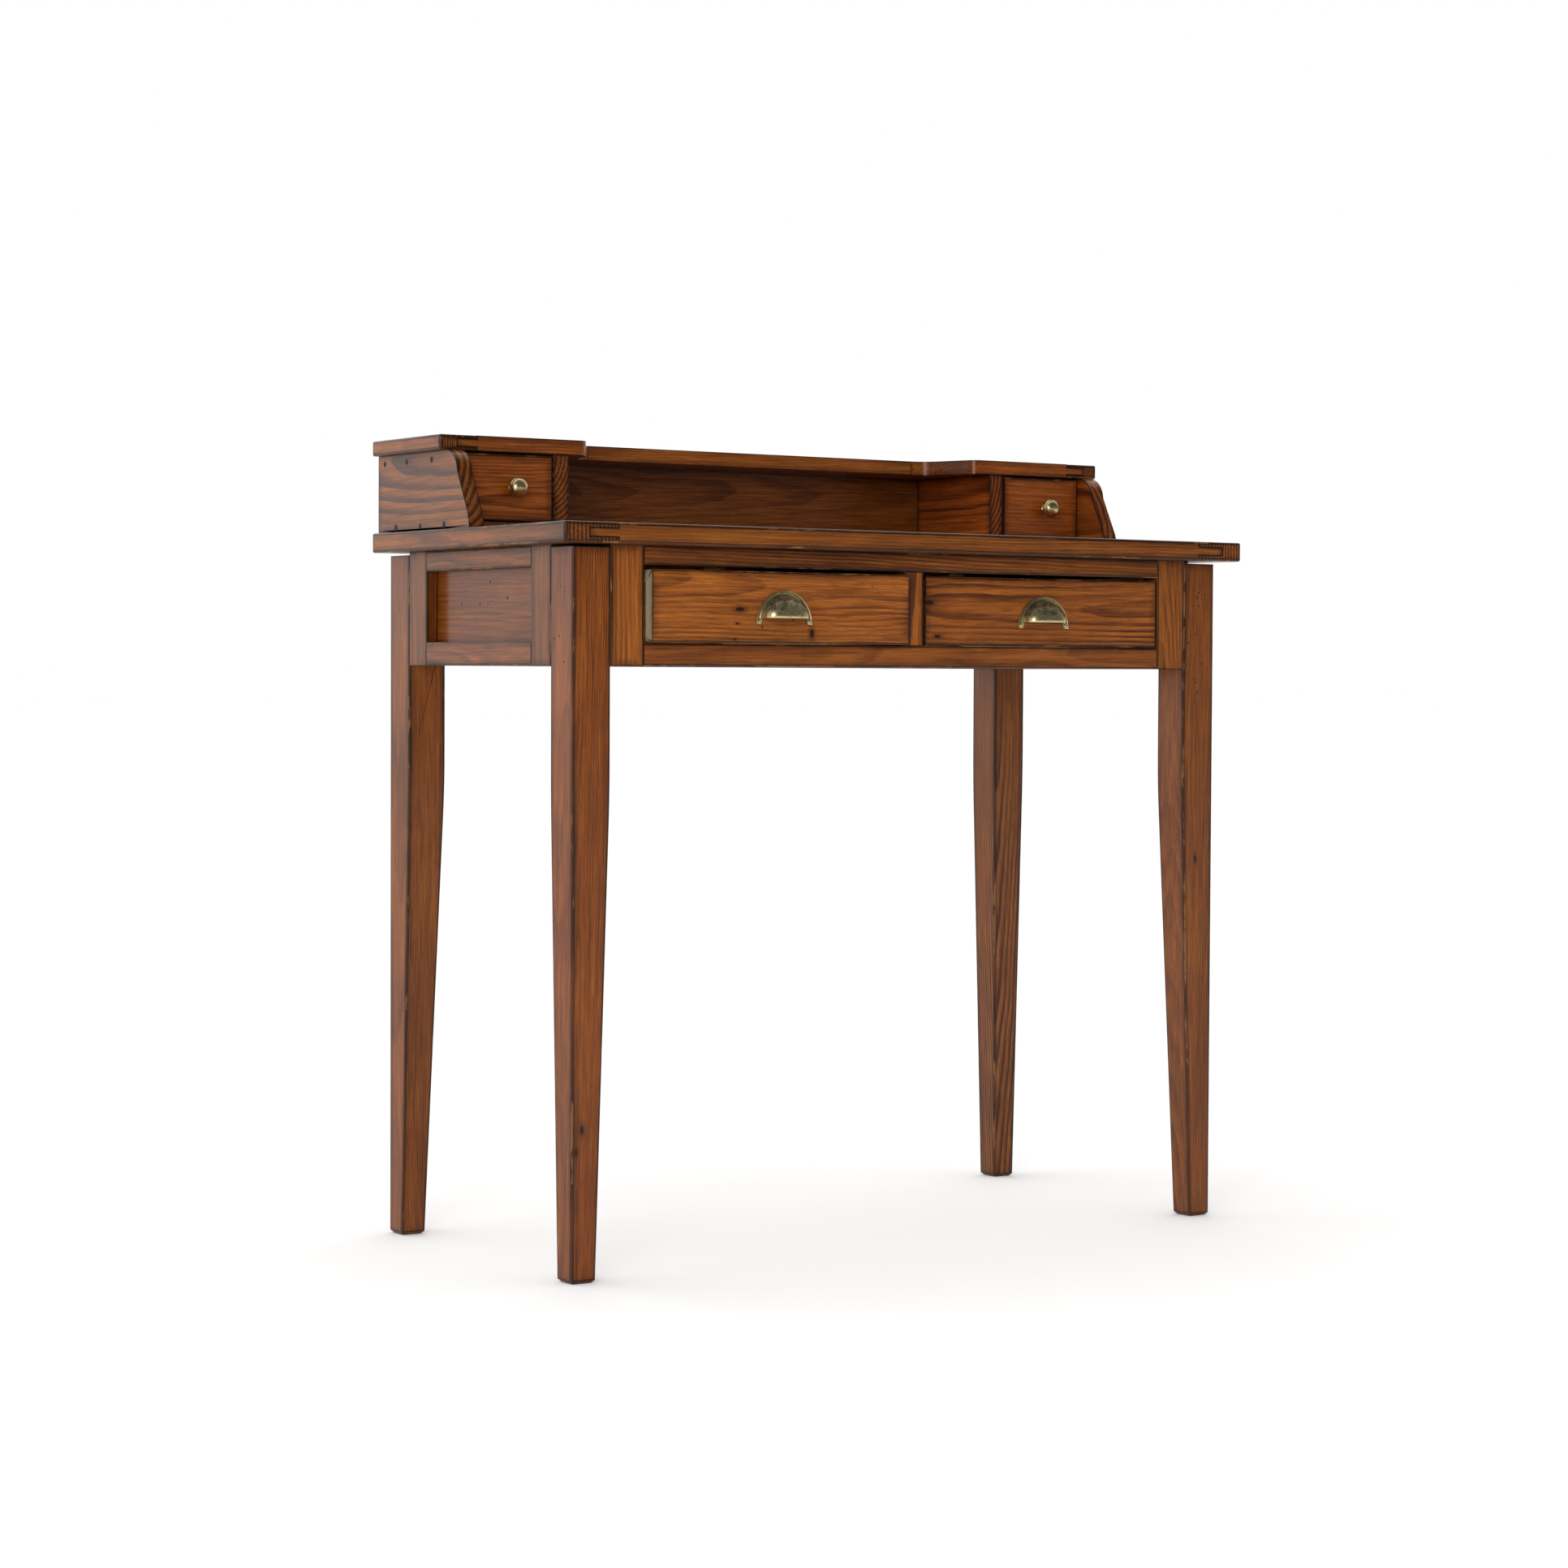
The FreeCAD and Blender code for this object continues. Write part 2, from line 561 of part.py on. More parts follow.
def side_frame(side):
    """Two uprights and two rails round a flat panel that sits in their grooves."""
    name = SIDE_NAME[side]
    thick = across(side, FRAME_INSIDE_X, FRAME_SIDE)
    tongue = across(
        side, f"{FRAME_SIDE} - panel_recess - panel_thickness", f"{FRAME_SIDE} - panel_recess",
    )
    front, back = f"({LEG_INNER_FRONT} + side_stile_width)", f"({LEG_INNER_BACK} - side_stile_width)"
    low, high = f"({APRON_UNDER} + side_bottom_rail_height)", f"({TOP_UNDER} - side_top_rail_height)"
    panel = box(
        f"{name}_side_panel", tongue, (f"{front} - panel_groove", f"{back} + panel_groove"),
        (f"{low} - panel_groove", f"{high} + panel_groove"),
    )
    tenons = [
        box(
            f"{name}_side_tenon_{level}", tongue,
            (f"{front} - tenon_length", f"{back} + tenon_length"), heights,
        )
        for level, heights in (
            ("low", (f"{APRON_UNDER} + tenon_shoulder", f"{low} - panel_groove")),
            ("high", (f"{high} + panel_groove", f"{TOP_UNDER} - tenon_shoulder")),
        )
    ]
    stiles, rails = [], []
    for level, depth in (("front", (LEG_INNER_FRONT, front)), ("back", (back, LEG_INNER_BACK))):
        blank = box(f"{name}_side_stile_{level}_blank", thick, depth, (APRON_UNDER, TOP_UNDER))
        made = ease(f"{name}_side_stile_{level}", blank, "board_ease", corners_along("z", blank))
        stiles.append(carve(f"{name}_side_stile_{level}", made, [panel, *tenons]))
    rail_heights = (("low", (APRON_UNDER, low)), ("high", (high, TOP_UNDER)))
    for tenon, (level, heights) in zip(tenons, rail_heights):
        blank = box(f"{name}_side_rail_{level}_blank", thick, (front, back), heights)
        made = ease(f"{name}_side_rail_{level}", blank, "board_ease", corners_along("y", blank))
        made = cut(f"{name}_side_rail_{level}_grooved", made, panel)
        rails.append(fuse(f"{name}_side_rail_{level}_tenoned", [made, tenon]))
    subpart(f"{name}_side_panel", panel)
    subpart(f"{name}_side_stiles", group(f"{name}_side_stiles", stiles))
    subpart(f"{name}_side_rails", group(f"{name}_side_rails", rails))


for side in (LEFT, RIGHT):
    side_frame(side)
eased_board(
    "back_apron", (f"-{LEG_INNER_X}", LEG_INNER_X), (FRAME_INSIDE_BACK, FRAME_BACK),
    (APRON_UNDER, TOP_UNDER), "x",
)


# ---- runners, guides and kickers ----

INSIDE_Y = (FRAME_INSIDE_FRONT, FRAME_INSIDE_BACK)
DRAWER_OUTER = f"({OPENING_OUTER} - drawer_gap)"
DRAWER_INNER = f"({OPENING_INNER} + drawer_gap)"
DRAWER_FLOOR = f"({OPENING_FLOOR} + drawer_lift)"
RUNNER_TOP = f"({DRAWER_FLOOR} - slide_clearance)"
BEARER_OUTER = f"({FRAME_INSIDE_X} - block_reach)"
bearers = {
    "middle": (
        (f"-({DRAWER_INNER} + bearing_width)", f"{DRAWER_INNER} + bearing_width"),
        (f"-({DRAWER_INNER} - slide_clearance)", f"{DRAWER_INNER} - slide_clearance"),
    ),
}
for side in (LEFT, RIGHT):
    bearers[SIDE_NAME[side]] = (
        across(side, f"{DRAWER_OUTER} - bearing_width", BEARER_OUTER),
        across(side, f"{DRAWER_OUTER} + slide_clearance", BEARER_OUTER),
    )
kicker_screws = [
    woodscrew(f"kicker_screw_{index}", x, y, OPENING_CEILING, "kicker_screw_length")
    for index, (x, y) in enumerate(
        (x, y)
        for x in (f"-({DRAWER_OUTER} - 4)", "0", f"{DRAWER_OUTER} - 4")
        for y in (f"{FRONT} + top_depth / 5", f"{BACK} - top_depth / 5")
    )
]
runners, kickers = [], []
for name, (under_drawer, beside_drawer) in bearers.items():
    runners.append(fuse(f"runner_{name}", [
        box(
            f"runner_{name}_bearing", under_drawer, INSIDE_Y,
            (f"{OPENING_FLOOR} - runner_height", RUNNER_TOP),
        ),
        box(f"runner_{name}_guide", beside_drawer, INSIDE_Y, (RUNNER_TOP, f"{RUNNER_TOP} + guide_height")),
    ]))
    blank = box(f"kicker_{name}_blank", under_drawer, INSIDE_Y, (OPENING_CEILING, TOP_UNDER))
    kickers.append(carve(f"kicker_{name}", blank, kicker_screws))
subpart("drawer_runners", group("drawer_runners", runners))
subpart("drawer_kickers", group("drawer_kickers", kickers))


# ---- the desktop and the gallery top: boards along X between end boards along Y ----

gallery_screws = [
    woodscrew(f"gallery_screw_{SIDE_NAME[side]}_{place}_{index}", f"{side} * ({x})", y, TOP_UNDER,
              "gallery_screw_length")
    for side in (LEFT, RIGHT)
    for place, x in (
        ("side", f"{BAY_OUTER} + side_thickness / 2"),
        ("partition", f"{BAY_INNER} - partition_thickness / 2"),
    )
    for index, y in enumerate((f"{BACK} - shelf_depth * 1.5", f"{BACK} - shelf_depth * 0.8"))
]
subpart("top_screws", group("top_screws", kicker_screws + gallery_screws))


def on_plane(axis, place, tolerance=0.01):
    """Picks the edges whose middle lies at one place along an axis."""
    wanted = number(place)
    return lambda edge: abs(getattr(edge.CenterOfMass, axis) - wanted) < tolerance


def end_board(label, side, width, y, z, tongue, screws=()):
    """A board across the ends of the others, slotted for their tongues and rounded on its outer side."""
    blank = box(f"{label}_blank", across(side, f"top_width / 2 - {width}", "top_width / 2"), y, z)
    outer = on_plane("x", f"{side} * top_width / 2")
    corners = ease(f"{label}_corners", blank, "top_corner", lambda edge: outer(edge) and upright(edge))
    made = ease(f"{label}_edges", corners, "top_ease", lambda edge: outer(edge) and not upright(edge))
    subpart(label, carve(label, made, [tongue, *screws]))


def upright(edge):
    return edge.BoundBox.ZLength > 1


def tongue_box(name, width, tongue, y, z, thickness):
    """The space of the tongues, from one end board's slot to the other's."""
    reach = f"(top_width / 2 - {width} + {tongue})"
    low, high = z
    middle = f"({low} + {high}) / 2"
    return box(name, (f"-{reach}", reach), y, (f"{middle} - {thickness} / 2", f"{middle} + {thickness} / 2"))


TOP_Z = (TOP_UNDER, "top_height")
TOP_SHOULDER = "(top_width / 2 - top_end_width)"
WHOLE_TOP_Y = (FRONT, BACK)
slot = tongue_box("desktop_slot", "top_end_width", "top_tongue", WHOLE_TOP_Y, TOP_Z, "tongue_thickness")
for side in (LEFT, RIGHT):
    label = f"desktop_{SIDE_NAME[side]}_end"
    end_board(label, side, "top_end_width", WHOLE_TOP_Y, TOP_Z, slot, gallery_screws)
board_count = int(number("top_board_count"))
for index in range(board_count):
    label = f"desktop_board_{index + 1}"
    y = (
        f"({FRONT} + top_depth * {index} / top_board_count)",
        f"({FRONT} + top_depth * {index + 1} / top_board_count)",
    )
    made = box(f"{label}_blank", (f"-{TOP_SHOULDER}", TOP_SHOULDER), y, TOP_Z)
    edge_at = {0: FRONT, board_count - 1: BACK}.get(index)
    if edge_at:
        lengthways, at_edge = corners_along("x", made), on_plane("y", edge_at)
        made = ease(f"{label}_edge", made, "top_ease", lambda edge: lengthways(edge) and at_edge(edge))
    tongues = tongue_box(f"{label}_tongue", "top_end_width", "top_tongue", y, TOP_Z, "tongue_thickness")
    made = fuse(f"{label}_tongued", [made, tongues])
    subpart(label, carve(label, made, kicker_screws + gallery_screws))

GALLERY_Z = (GALLERY_UNDER, f"({GALLERY_UNDER} + gallery_top_thickness)")
GALLERY_SHOULDER = "(top_width / 2 - gallery_end_width)"
WHOLE_GALLERY_Y = (GALLERY_FRONT, BACK)
gallery_slot_sizes = ("gallery_end_width", "gallery_tongue")
slot = tongue_box(
    "gallery_slot", *gallery_slot_sizes, WHOLE_GALLERY_Y, GALLERY_Z, "gallery_tongue_thickness",
)
for side in (LEFT, RIGHT):
    label = f"gallery_top_{SIDE_NAME[side]}_end"
    end_board(label, side, "gallery_end_width", WHOLE_GALLERY_Y, GALLERY_Z, slot)

shelf_y = (SHELF_FRONT, BACK)
blank = box("gallery_top_back_board_blank", (f"-{GALLERY_SHOULDER}", GALLERY_SHOULDER), shelf_y, GALLERY_Z)
lengthways, at_back = corners_along("x", blank), on_plane("y", BACK)
made = ease("gallery_top_back_board_edge", blank, "top_ease", lambda edge: lengthways(edge) and at_back(edge))
tongues = tongue_box(
    "gallery_top_back_tongue", *gallery_slot_sizes, shelf_y, GALLERY_Z, "gallery_tongue_thickness",
)
subpart("gallery_top_back_board", fuse("gallery_top_back_board", [made, tongues]))


def wing(side):
    """The board over a small drawer, glued to the front of the back board. Its inner edge is an ogee."""
    label = f"gallery_top_{SIDE_NAME[side]}_wing"
    rise = "(1 - cos(wing_angle))"
    nose_x = "(top_width / 2 - wing_reach)"
    depth = "(gallery_depth - shelf_depth)"
    straight = f"(({depth} - (wing_nose + wing_hollow) * {rise}) / sin(wing_angle))"
    nose_end = f"({nose_x} - wing_nose * sin(wing_angle))"
    hollow_start = f"({nose_end} - {straight} * cos(wing_angle))"
    body = doc.addObject("PartDesign::Body", f"{label}_body")
    plan = outline(body, f"{label}_plan", "XY_Plane", [
        (f"{side} * {GALLERY_SHOULDER}", "0"),
        (f"{side} * {nose_x}", "0", f"{-side} * wing_nose"),
        (f"{side} * {nose_end}", f"wing_nose * {rise}"),
        (f"{side} * {hollow_start}", f"{depth} - wing_hollow * {rise}", f"{side} * wing_hollow"),
        (f"{side} * ({hollow_start} - wing_hollow * sin(wing_angle))", depth),
        (f"{side} * {GALLERY_SHOULDER}", depth),
    ])
    pad(body, f"{label}_blank", plan, "gallery_top_thickness")
    body.setExpression("Placement.Base.y", dims(GALLERY_FRONT))
    body.setExpression("Placement.Base.z", dims(GALLERY_UNDER))
    y = (GALLERY_FRONT, SHELF_FRONT)
    whole = tongue_box(f"{label}_slot", *gallery_slot_sizes, y, GALLERY_Z, "gallery_tongue_thickness")
    reach = box(f"{label}_reach", across(side, GALLERY_SHOULDER, "top_width / 2"), y, GALLERY_Z)
    tongue = doc.addObject("Part::MultiCommon", f"{label}_tongue")
    tongue.Shapes = [whole, reach]
    subpart(label, fuse(label, [body, tongue]))


for side in (LEFT, RIGHT):
    wing(side)


# ---- the gallery under its top ----

HIGH_NAILS = (15, 66, 123)  # back of the desktop to each nail into the strips
LOW_NAILS = (41, 97, 151)  # and to each nail into the floor board
nails = [
    nail(f"gallery_nail_{SIDE_NAME[side]}_{row}_{index}",
         f"{side} * (top_width / 2 - side_inset)", f"{BACK} - {back}", height, "-x" if side == RIGHT else "x")
    for side in (LEFT, RIGHT)
    for row, height, places in (
        ("high", f"{GALLERY_UNDER} - cleat_size / 2", HIGH_NAILS),
        ("low", "top_height + floor_thickness / 2", LOW_NAILS),
    )
    for index, back in enumerate(places)
]
subpart("gallery_nails", group("gallery_nails", nails))


def gallery_side(side):
    """The shaped end of the gallery. Its front edge swells from a round shoulder down to the desktop."""
    label = f"gallery_{SIDE_NAME[side]}_side"
    foot = f"({GALLERY_FRONT} - side_sweep)"
    body = doc.addObject("PartDesign::Body", f"{label}_body")
    shape = outline(body, f"{label}_profile", "YZ_Plane", [
        (foot, "0"),
        (BACK, "0"),
        (BACK, "gallery_height"),
        (f"{GALLERY_FRONT} - 1", "gallery_height", "shoulder_radius"),
        (f"{GALLERY_FRONT} - shoulder_reach", "gallery_height - shoulder_reach"),
        (f"{foot} + foot_curve_reach", "foot_curve_height", "foot_curve_radius"),
    ])
    pad(body, f"{label}_blank", shape, "side_thickness")
    low_x, _ = across(side, BAY_OUTER, "(top_width / 2 - side_inset)")
    body.setExpression("Placement.Base.x", dims(low_x))
    body.setExpression("Placement.Base.z", dims("top_height"))
    subpart(label, carve(label, body, nails + gallery_screws))


floors, cleats = [], []
for side in (LEFT, RIGHT):
    gallery_side(side)
    label = f"gallery_{SIDE_NAME[side]}_partition"
    partition_x = across(side, f"{BAY_INNER} - partition_thickness", BAY_INNER)
    eased_board(
        label, partition_x, (BAY_FRONT, BAY_BACK), ("top_height", GALLERY_UNDER), "z",
        mortises=gallery_screws, radius="board_ease / 2",
    )
    name = f"bay_floor_{SIDE_NAME[side]}"
    blank = box(name, across(side, BAY_INNER, BAY_OUTER), (BAY_FRONT, BAY_BACK), ("top_height", BAY_FLOOR))
    floors.append(carve(f"{name}_nailed", blank, nails))
    for place, x in (
        ("outer", (f"{BAY_OUTER} - cleat_size", BAY_OUTER)),
        ("inner", (BAY_INNER, f"{BAY_INNER} + cleat_size")),
    ):
        name = f"cleat_{SIDE_NAME[side]}_{place}"
        y = (f"{BAY_FRONT} + cleat_setback", BAY_BACK)
        blank = box(name, across(side, *x), y, (f"{GALLERY_UNDER} - cleat_size", GALLERY_UNDER))
        cleats.append(carve(f"{name}_nailed", blank, nails))
subpart("gallery_floors", group("gallery_floors", floors))
subpart("gallery_cleats", group("gallery_cleats", cleats))
back_x = (f"-{BAY_OUTER}", BAY_OUTER)
subpart("gallery_back", box("gallery_back", back_x, (BAY_BACK, BACK), ("top_height", GALLERY_UNDER)))


# ---- pulls and knobs ----

def ellipsoid(name, x, y, z, centre):
    """An ellipsoid with three half widths round a centre."""
    made = doc.addObject("Part::Ellipsoid", name)
    for half, size in (("Radius2", x), ("Radius3", y), ("Radius1", z)):
        made.setExpression(half, dims(size))
    for axis, place in zip("xyz", centre):
        made.setExpression(f"Placement.Base.{axis}", dims(place))
    return made


def cup_pull(label, x, face, front_top, screws):
    """A half-round cup, open underneath, on a flat rim whose two feet reach below the cup's mouth."""
    top = f"({front_top} - pull_top)"
    feet = f"({top} - pull_drop)"
    rim_centre = f"({top} - pull_radius)"
    mouth = f"({top} - cup_drop - cup_height)"
    centre = (x, face, mouth)
    outer = ellipsoid(f"{label}_outside", "cup_half_width", "pull_projection", "cup_height", centre)
    inner = ellipsoid(
        f"{label}_inside", "cup_half_width - cup_wall", "pull_projection - cup_wall",
        "cup_height - cup_wall", centre,
    )
    whole_x = (f"{x} - pull_radius", f"{x} + pull_radius")
    room = box(f"{label}_room", whole_x, (f"{face} - pull_projection", face), (mouth, top))
    shell = doc.addObject("Part::MultiCommon", f"{label}_shell")
    shell.Shapes = [cut(f"{label}_hollow", outer, inner), room]
    disc = rod(f"{label}_disc", "2 * pull_radius", "rim_thickness", (x, face, rim_centre), ROD_AXIS["-y"])
    below = box(
        f"{label}_below", whole_x, (f"{face} - rim_thickness", face), (f"{rim_centre} - pull_radius", feet),
    )
    between = box(
        f"{label}_between", (f"{x} - cup_half_width + cup_wall", f"{x} + cup_half_width - cup_wall"),
        (f"{face} - rim_thickness", face), (feet, mouth),
    )
    rim = carve(f"{label}_rim", disc, [below, between, inner])
    posts = [
        rod(f"{label}_post_{way}", "post_size", "post_length",
            (f"{x} + {way} * post_spacing / 2", face, f"{mouth} + post_rise"), ROD_AXIS["-y"])
        for way in (-1, 1)
    ]
    made = fuse(f"{label}_cast", [shell, rim, *posts])
    subpart(label, carve(label, made, screws))


def machine_screw(name, x, face, thickness, z):
    """A screw through a drawer front from behind, its head against the back of the front."""
    back = f"({face} + {thickness})"
    head = rod(f"{name}_head", "screw_head", "screw_head_height", (x, back, z), ROD_AXIS["y"])
    shank = rod(f"{name}_shank", "screw_size", f"{thickness} + screw_bite", (x, back, z), ROD_AXIS["-y"])
    return fuse(name, [head, shank])


def knob(label, x, face, z, screws):
    """A turned knob: a flared base, a thin neck and a domed round head."""
    body = doc.addObject("PartDesign::Body", f"{label}_body")
    dome_foot = "(knob_projection - knob_dome)"
    rim_under = f"({dome_foot} - knob_roll_height)"
    dome_radius = "((knob_dome_size / 2)^2 + knob_dome^2) / (2 * knob_dome)"  # centred on the knob's axis
    half = outline(body, f"{label}_profile", "XY_Plane", [
        ("0", "0"),
        ("knob_base / 2", "0"),
        ("knob_base / 2", "knob_base_thickness"),
        ("knob_neck / 2", "knob_flare"),
        ("knob_neck / 2", f"{rim_under} - knob_under_rise"),
        ("knob_under_size / 2", rim_under, "knob_roll"),
        ("knob_dome_size / 2", dome_foot, dome_radius),
        ("0", "knob_projection"),
    ])
    turned = body.newObject("PartDesign::Revolution", f"{label}_turned")
    turned.Profile = half
    turned.ReferenceAxis = (half, ["V_Axis"])
    turned.Angle = 360
    body.Placement.Rotation = FreeCAD.Rotation(FreeCAD.Vector(0, 0, 1), 180)
    for axis, place in zip("xyz", (x, face, z)):
        body.setExpression(f"Placement.Base.{axis}", dims(place))
    subpart(label, carve(label, body, screws))


# ---- the drawers ----

def drawer_box(label, kind, x, face, floor, screws):
    """A drawer front with its sides, back and bottom. Kind is the prefix of its sizes on the sheet."""
    low, high = x
    inside_front = f"({face} + {kind}_front_thickness)"
    box_back = f"({inside_front} + {kind}_box_depth)"
    box_top = f"({floor} + {kind}_box_height)"
    bottom_under = f"({floor} + bottom_lift)"
    bottom_top = f"({bottom_under} + {kind}_bottom_thickness)"
    bottom = box(
        f"{label}_bottom", (f"{low} + {kind}_wall - bottom_groove", f"{high} - {kind}_wall + bottom_groove"),
        (f"{inside_front} - bottom_groove", box_back), (bottom_under, bottom_top),
    )
    side_y = (f"{inside_front} - {kind}_housing", box_back)
    sides = [
        box(f"{label}_side_left_blank", (low, f"{low} + {kind}_wall"), side_y, (floor, box_top)),
        box(f"{label}_side_right_blank", (f"{high} - {kind}_wall", high), side_y, (floor, box_top)),
    ]
    back = box(
        f"{label}_back", (f"{low} + {kind}_wall", f"{high} - {kind}_wall"),
        (f"{box_back} - {kind}_wall", box_back),
        (bottom_top, box_top),
    )
    front = (x, (face, inside_front), (floor, f"{floor} + {kind}_front_height"))
    eased_board(f"{label}_front", *front, "x", mortises=[*sides, bottom, *screws])
    walls = [cut(f"{side.Name}_grooved", side, bottom) for side in sides]
    subpart(f"{label}_box", group(f"{label}_box", [*walls, back]))
    subpart(f"{label}_bottom", bottom)


for side in (LEFT, RIGHT):
    label = f"{SIDE_NAME[side]}_drawer"
    x = tuple(f"({limit})" for limit in across(side, DRAWER_INNER, DRAWER_OUTER))
    middle = f"(({x[0]} + {x[1]}) / 2)"
    face = f"({FRAME_FRONT} - drawer_ajar)" if side == LEFT else FRAME_FRONT
    front_top = f"({DRAWER_FLOOR} + drawer_front_height)"
    post_z = f"({front_top} - pull_top - cup_drop - cup_height + post_rise)"
    screws = [
        machine_screw(f"{label}_pull_screw_{way}", f"{middle} + {way} * post_spacing / 2", face,
                      "drawer_front_thickness", post_z)
        for way in (-1, 1)
    ]
    drawer_box(label, "drawer", x, face, DRAWER_FLOOR, screws)
    cup_pull(f"{label}_pull", middle, face, front_top, screws)
    subpart(f"{label}_pull_screws", group(f"{label}_pull_screws", screws))

for side in (LEFT, RIGHT):
    label = f"{SIDE_NAME[side]}_small_drawer"
    x = tuple(f"({limit})" for limit in across(side, f"{BAY_INNER} + small_gap", f"{BAY_OUTER} - small_gap"))
    middle = f"(({x[0]} + {x[1]}) / 2)"
    floor = f"({BAY_FLOOR} + small_lift)"
    knob_x = f"({middle} + knob_offset)"
    knob_z = f"({floor} + small_front_height / 2)"
    screw = machine_screw(f"{label}_knob_screw", knob_x, BAY_FRONT, "small_front_thickness", knob_z)
    drawer_box(label, "small", x, BAY_FRONT, floor, [screw])
    knob(f"{label}_knob", knob_x, BAY_FRONT, knob_z, [screw])
    subpart(f"{label}_knob_screw", screw)


# ---- check everything, then write one file for each sub-part ----

doc.recompute()
for item in doc.Objects:
    if "Invalid" in item.State or "Error" in item.State:
        raise RuntimeError(f"{item.Name} failed: {item.State}")
os.makedirs("parts", exist_ok=True)
for made in subparts:
    if made.Shape.isNull() or not made.Shape.isValid():
        raise RuntimeError(f"{made.Label} has no valid shape")
    made.Shape.exportStep(f"parts/{made.Label}.step")
    size = made.Shape.BoundBox
    print(
        f"{made.Label:32} solids {len(made.Shape.Solids)}  volume {made.Shape.Volume / 1000:9.1f} cm3"
        f"  {size.XLength:6.1f} x {size.YLength:6.1f} x {size.ZLength:6.1f}"
    )
print(len(subparts), "sub-parts")
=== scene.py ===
# %% [markdown]
# # A stained pine writing desk with a drawer gallery
# The desk is already built as a model of separate boards, with drawers that slide. This lesson gives it
# its looks: boards with growth rings that run through them like real timber, worn edges with painted
# highlights, nails, wormholes, antiqued brass pulls, a camera and soft studio light. The imported model is
# loaded first, because every piece takes its place from it.

# %% Load the frame
import json
import math
import random

import bmesh
import bpy
import numpy as np
from mathutils import Matrix, Vector


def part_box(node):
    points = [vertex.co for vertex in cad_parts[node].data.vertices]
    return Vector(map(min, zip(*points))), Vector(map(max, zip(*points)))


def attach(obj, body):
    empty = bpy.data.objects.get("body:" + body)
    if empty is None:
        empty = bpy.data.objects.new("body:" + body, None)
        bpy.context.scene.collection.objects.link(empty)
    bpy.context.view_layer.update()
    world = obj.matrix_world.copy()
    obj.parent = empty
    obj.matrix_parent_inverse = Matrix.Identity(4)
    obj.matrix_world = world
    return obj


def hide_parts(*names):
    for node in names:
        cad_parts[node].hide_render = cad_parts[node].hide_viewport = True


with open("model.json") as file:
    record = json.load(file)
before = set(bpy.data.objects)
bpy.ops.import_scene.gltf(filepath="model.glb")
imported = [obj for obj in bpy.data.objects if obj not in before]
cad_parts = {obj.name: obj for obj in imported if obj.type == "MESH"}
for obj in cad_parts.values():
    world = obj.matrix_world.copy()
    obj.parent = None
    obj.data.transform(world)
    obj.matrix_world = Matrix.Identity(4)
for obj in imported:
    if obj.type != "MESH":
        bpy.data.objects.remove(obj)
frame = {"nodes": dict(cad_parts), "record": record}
scene = bpy.context.scene
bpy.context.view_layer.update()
BODY_OF = {node: body for body, nodes in frame["record"]["behaviour"]["bodies"].items() for node in nodes}

# %% [markdown]
# ## The camera
# The desk is seen from its left and from a little above knee height, almost level, through a long lens
# that keeps its uprights parallel. A camera can be aimed with a constraint or placed by hand. Here its
# three axes are written out from a heading, a tilt and a roll, so that nothing has to be evaluated first.

# %% Place the camera
HEADING, TILT, ROLL = math.radians(34.097), math.radians(-1.814), math.radians(0.259)
CAMERA_PLACE = Vector((-2.1973, -3.1799, 0.6223))
SENSOR_WIDTH, LENS_LENGTH = 36, 78.65
forward = Vector((
    math.sin(HEADING) * math.cos(TILT), math.cos(HEADING) * math.cos(TILT), math.sin(TILT),
))
sideways = Vector((math.cos(HEADING), -math.sin(HEADING), 0))
upward = sideways.cross(forward)
camera_x = math.cos(ROLL) * sideways + math.sin(ROLL) * upward
camera_y = -math.sin(ROLL) * sideways + math.cos(ROLL) * upward
lens = bpy.data.cameras.new("camera")
lens.sensor_width, lens.lens = SENSOR_WIDTH, LENS_LENGTH
camera = bpy.data.objects.new("camera", lens)
camera.matrix_world = (
    Matrix.Translation(CAMERA_PLACE)
    @ Matrix((camera_x, camera_y, -forward)).transposed().to_4x4()
)
scene.collection.objects.link(camera)
bpy.context.scene.camera = camera
print("camera looks along", [round(part, 3) for part in forward])

# %% [markdown]
# ## Writing shader maths
# A node tree for wood has dozens of small sums. Adding each Math node by hand hides the idea, so one
# small class wraps a socket and turns +, -, * and / into Math nodes. Any other node comes from one method
# that takes its type, its settings and the values of its sockets.

# %% A socket that can be calculated with
class Value:
    def __init__(self, paint, socket):
        self.paint, self.socket = paint, socket

    def _math(self, operation, *others):
        return self.paint.node("ShaderNodeMath", {"operation": operation}, [self, *others])

    def __add__(self, other): return self._math("ADD", other)
    def __mul__(self, other): return self._math("MULTIPLY", other)
    def __sub__(self, other): return self._math("SUBTRACT", other)
    def __truediv__(self, other): return self._math("DIVIDE", other)
    __radd__, __rmul__ = __add__, __mul__

    def __rsub__(self, other):
        return self.paint.node("ShaderNodeMath", {"operation": "SUBTRACT"}, [other, self])

    def abs(self): return self._math("ABSOLUTE")
    def sqrt(self): return self._math("SQRT")
    def fract(self): return self._math("FRACT")
    def least(self, other): return self._math("MINIMUM", other)
    def most(self, other): return self._math("MAXIMUM", other)

    def fade(self, low, high):
        """0 where this is at low, 1 where it is at high, smooth between."""
        return self.paint.node(
            "ShaderNodeMapRange", {"interpolation_type": "SMOOTHSTEP"},
            {"Value": self, "From Min": low, "From Max": high}, out="Result",
        )


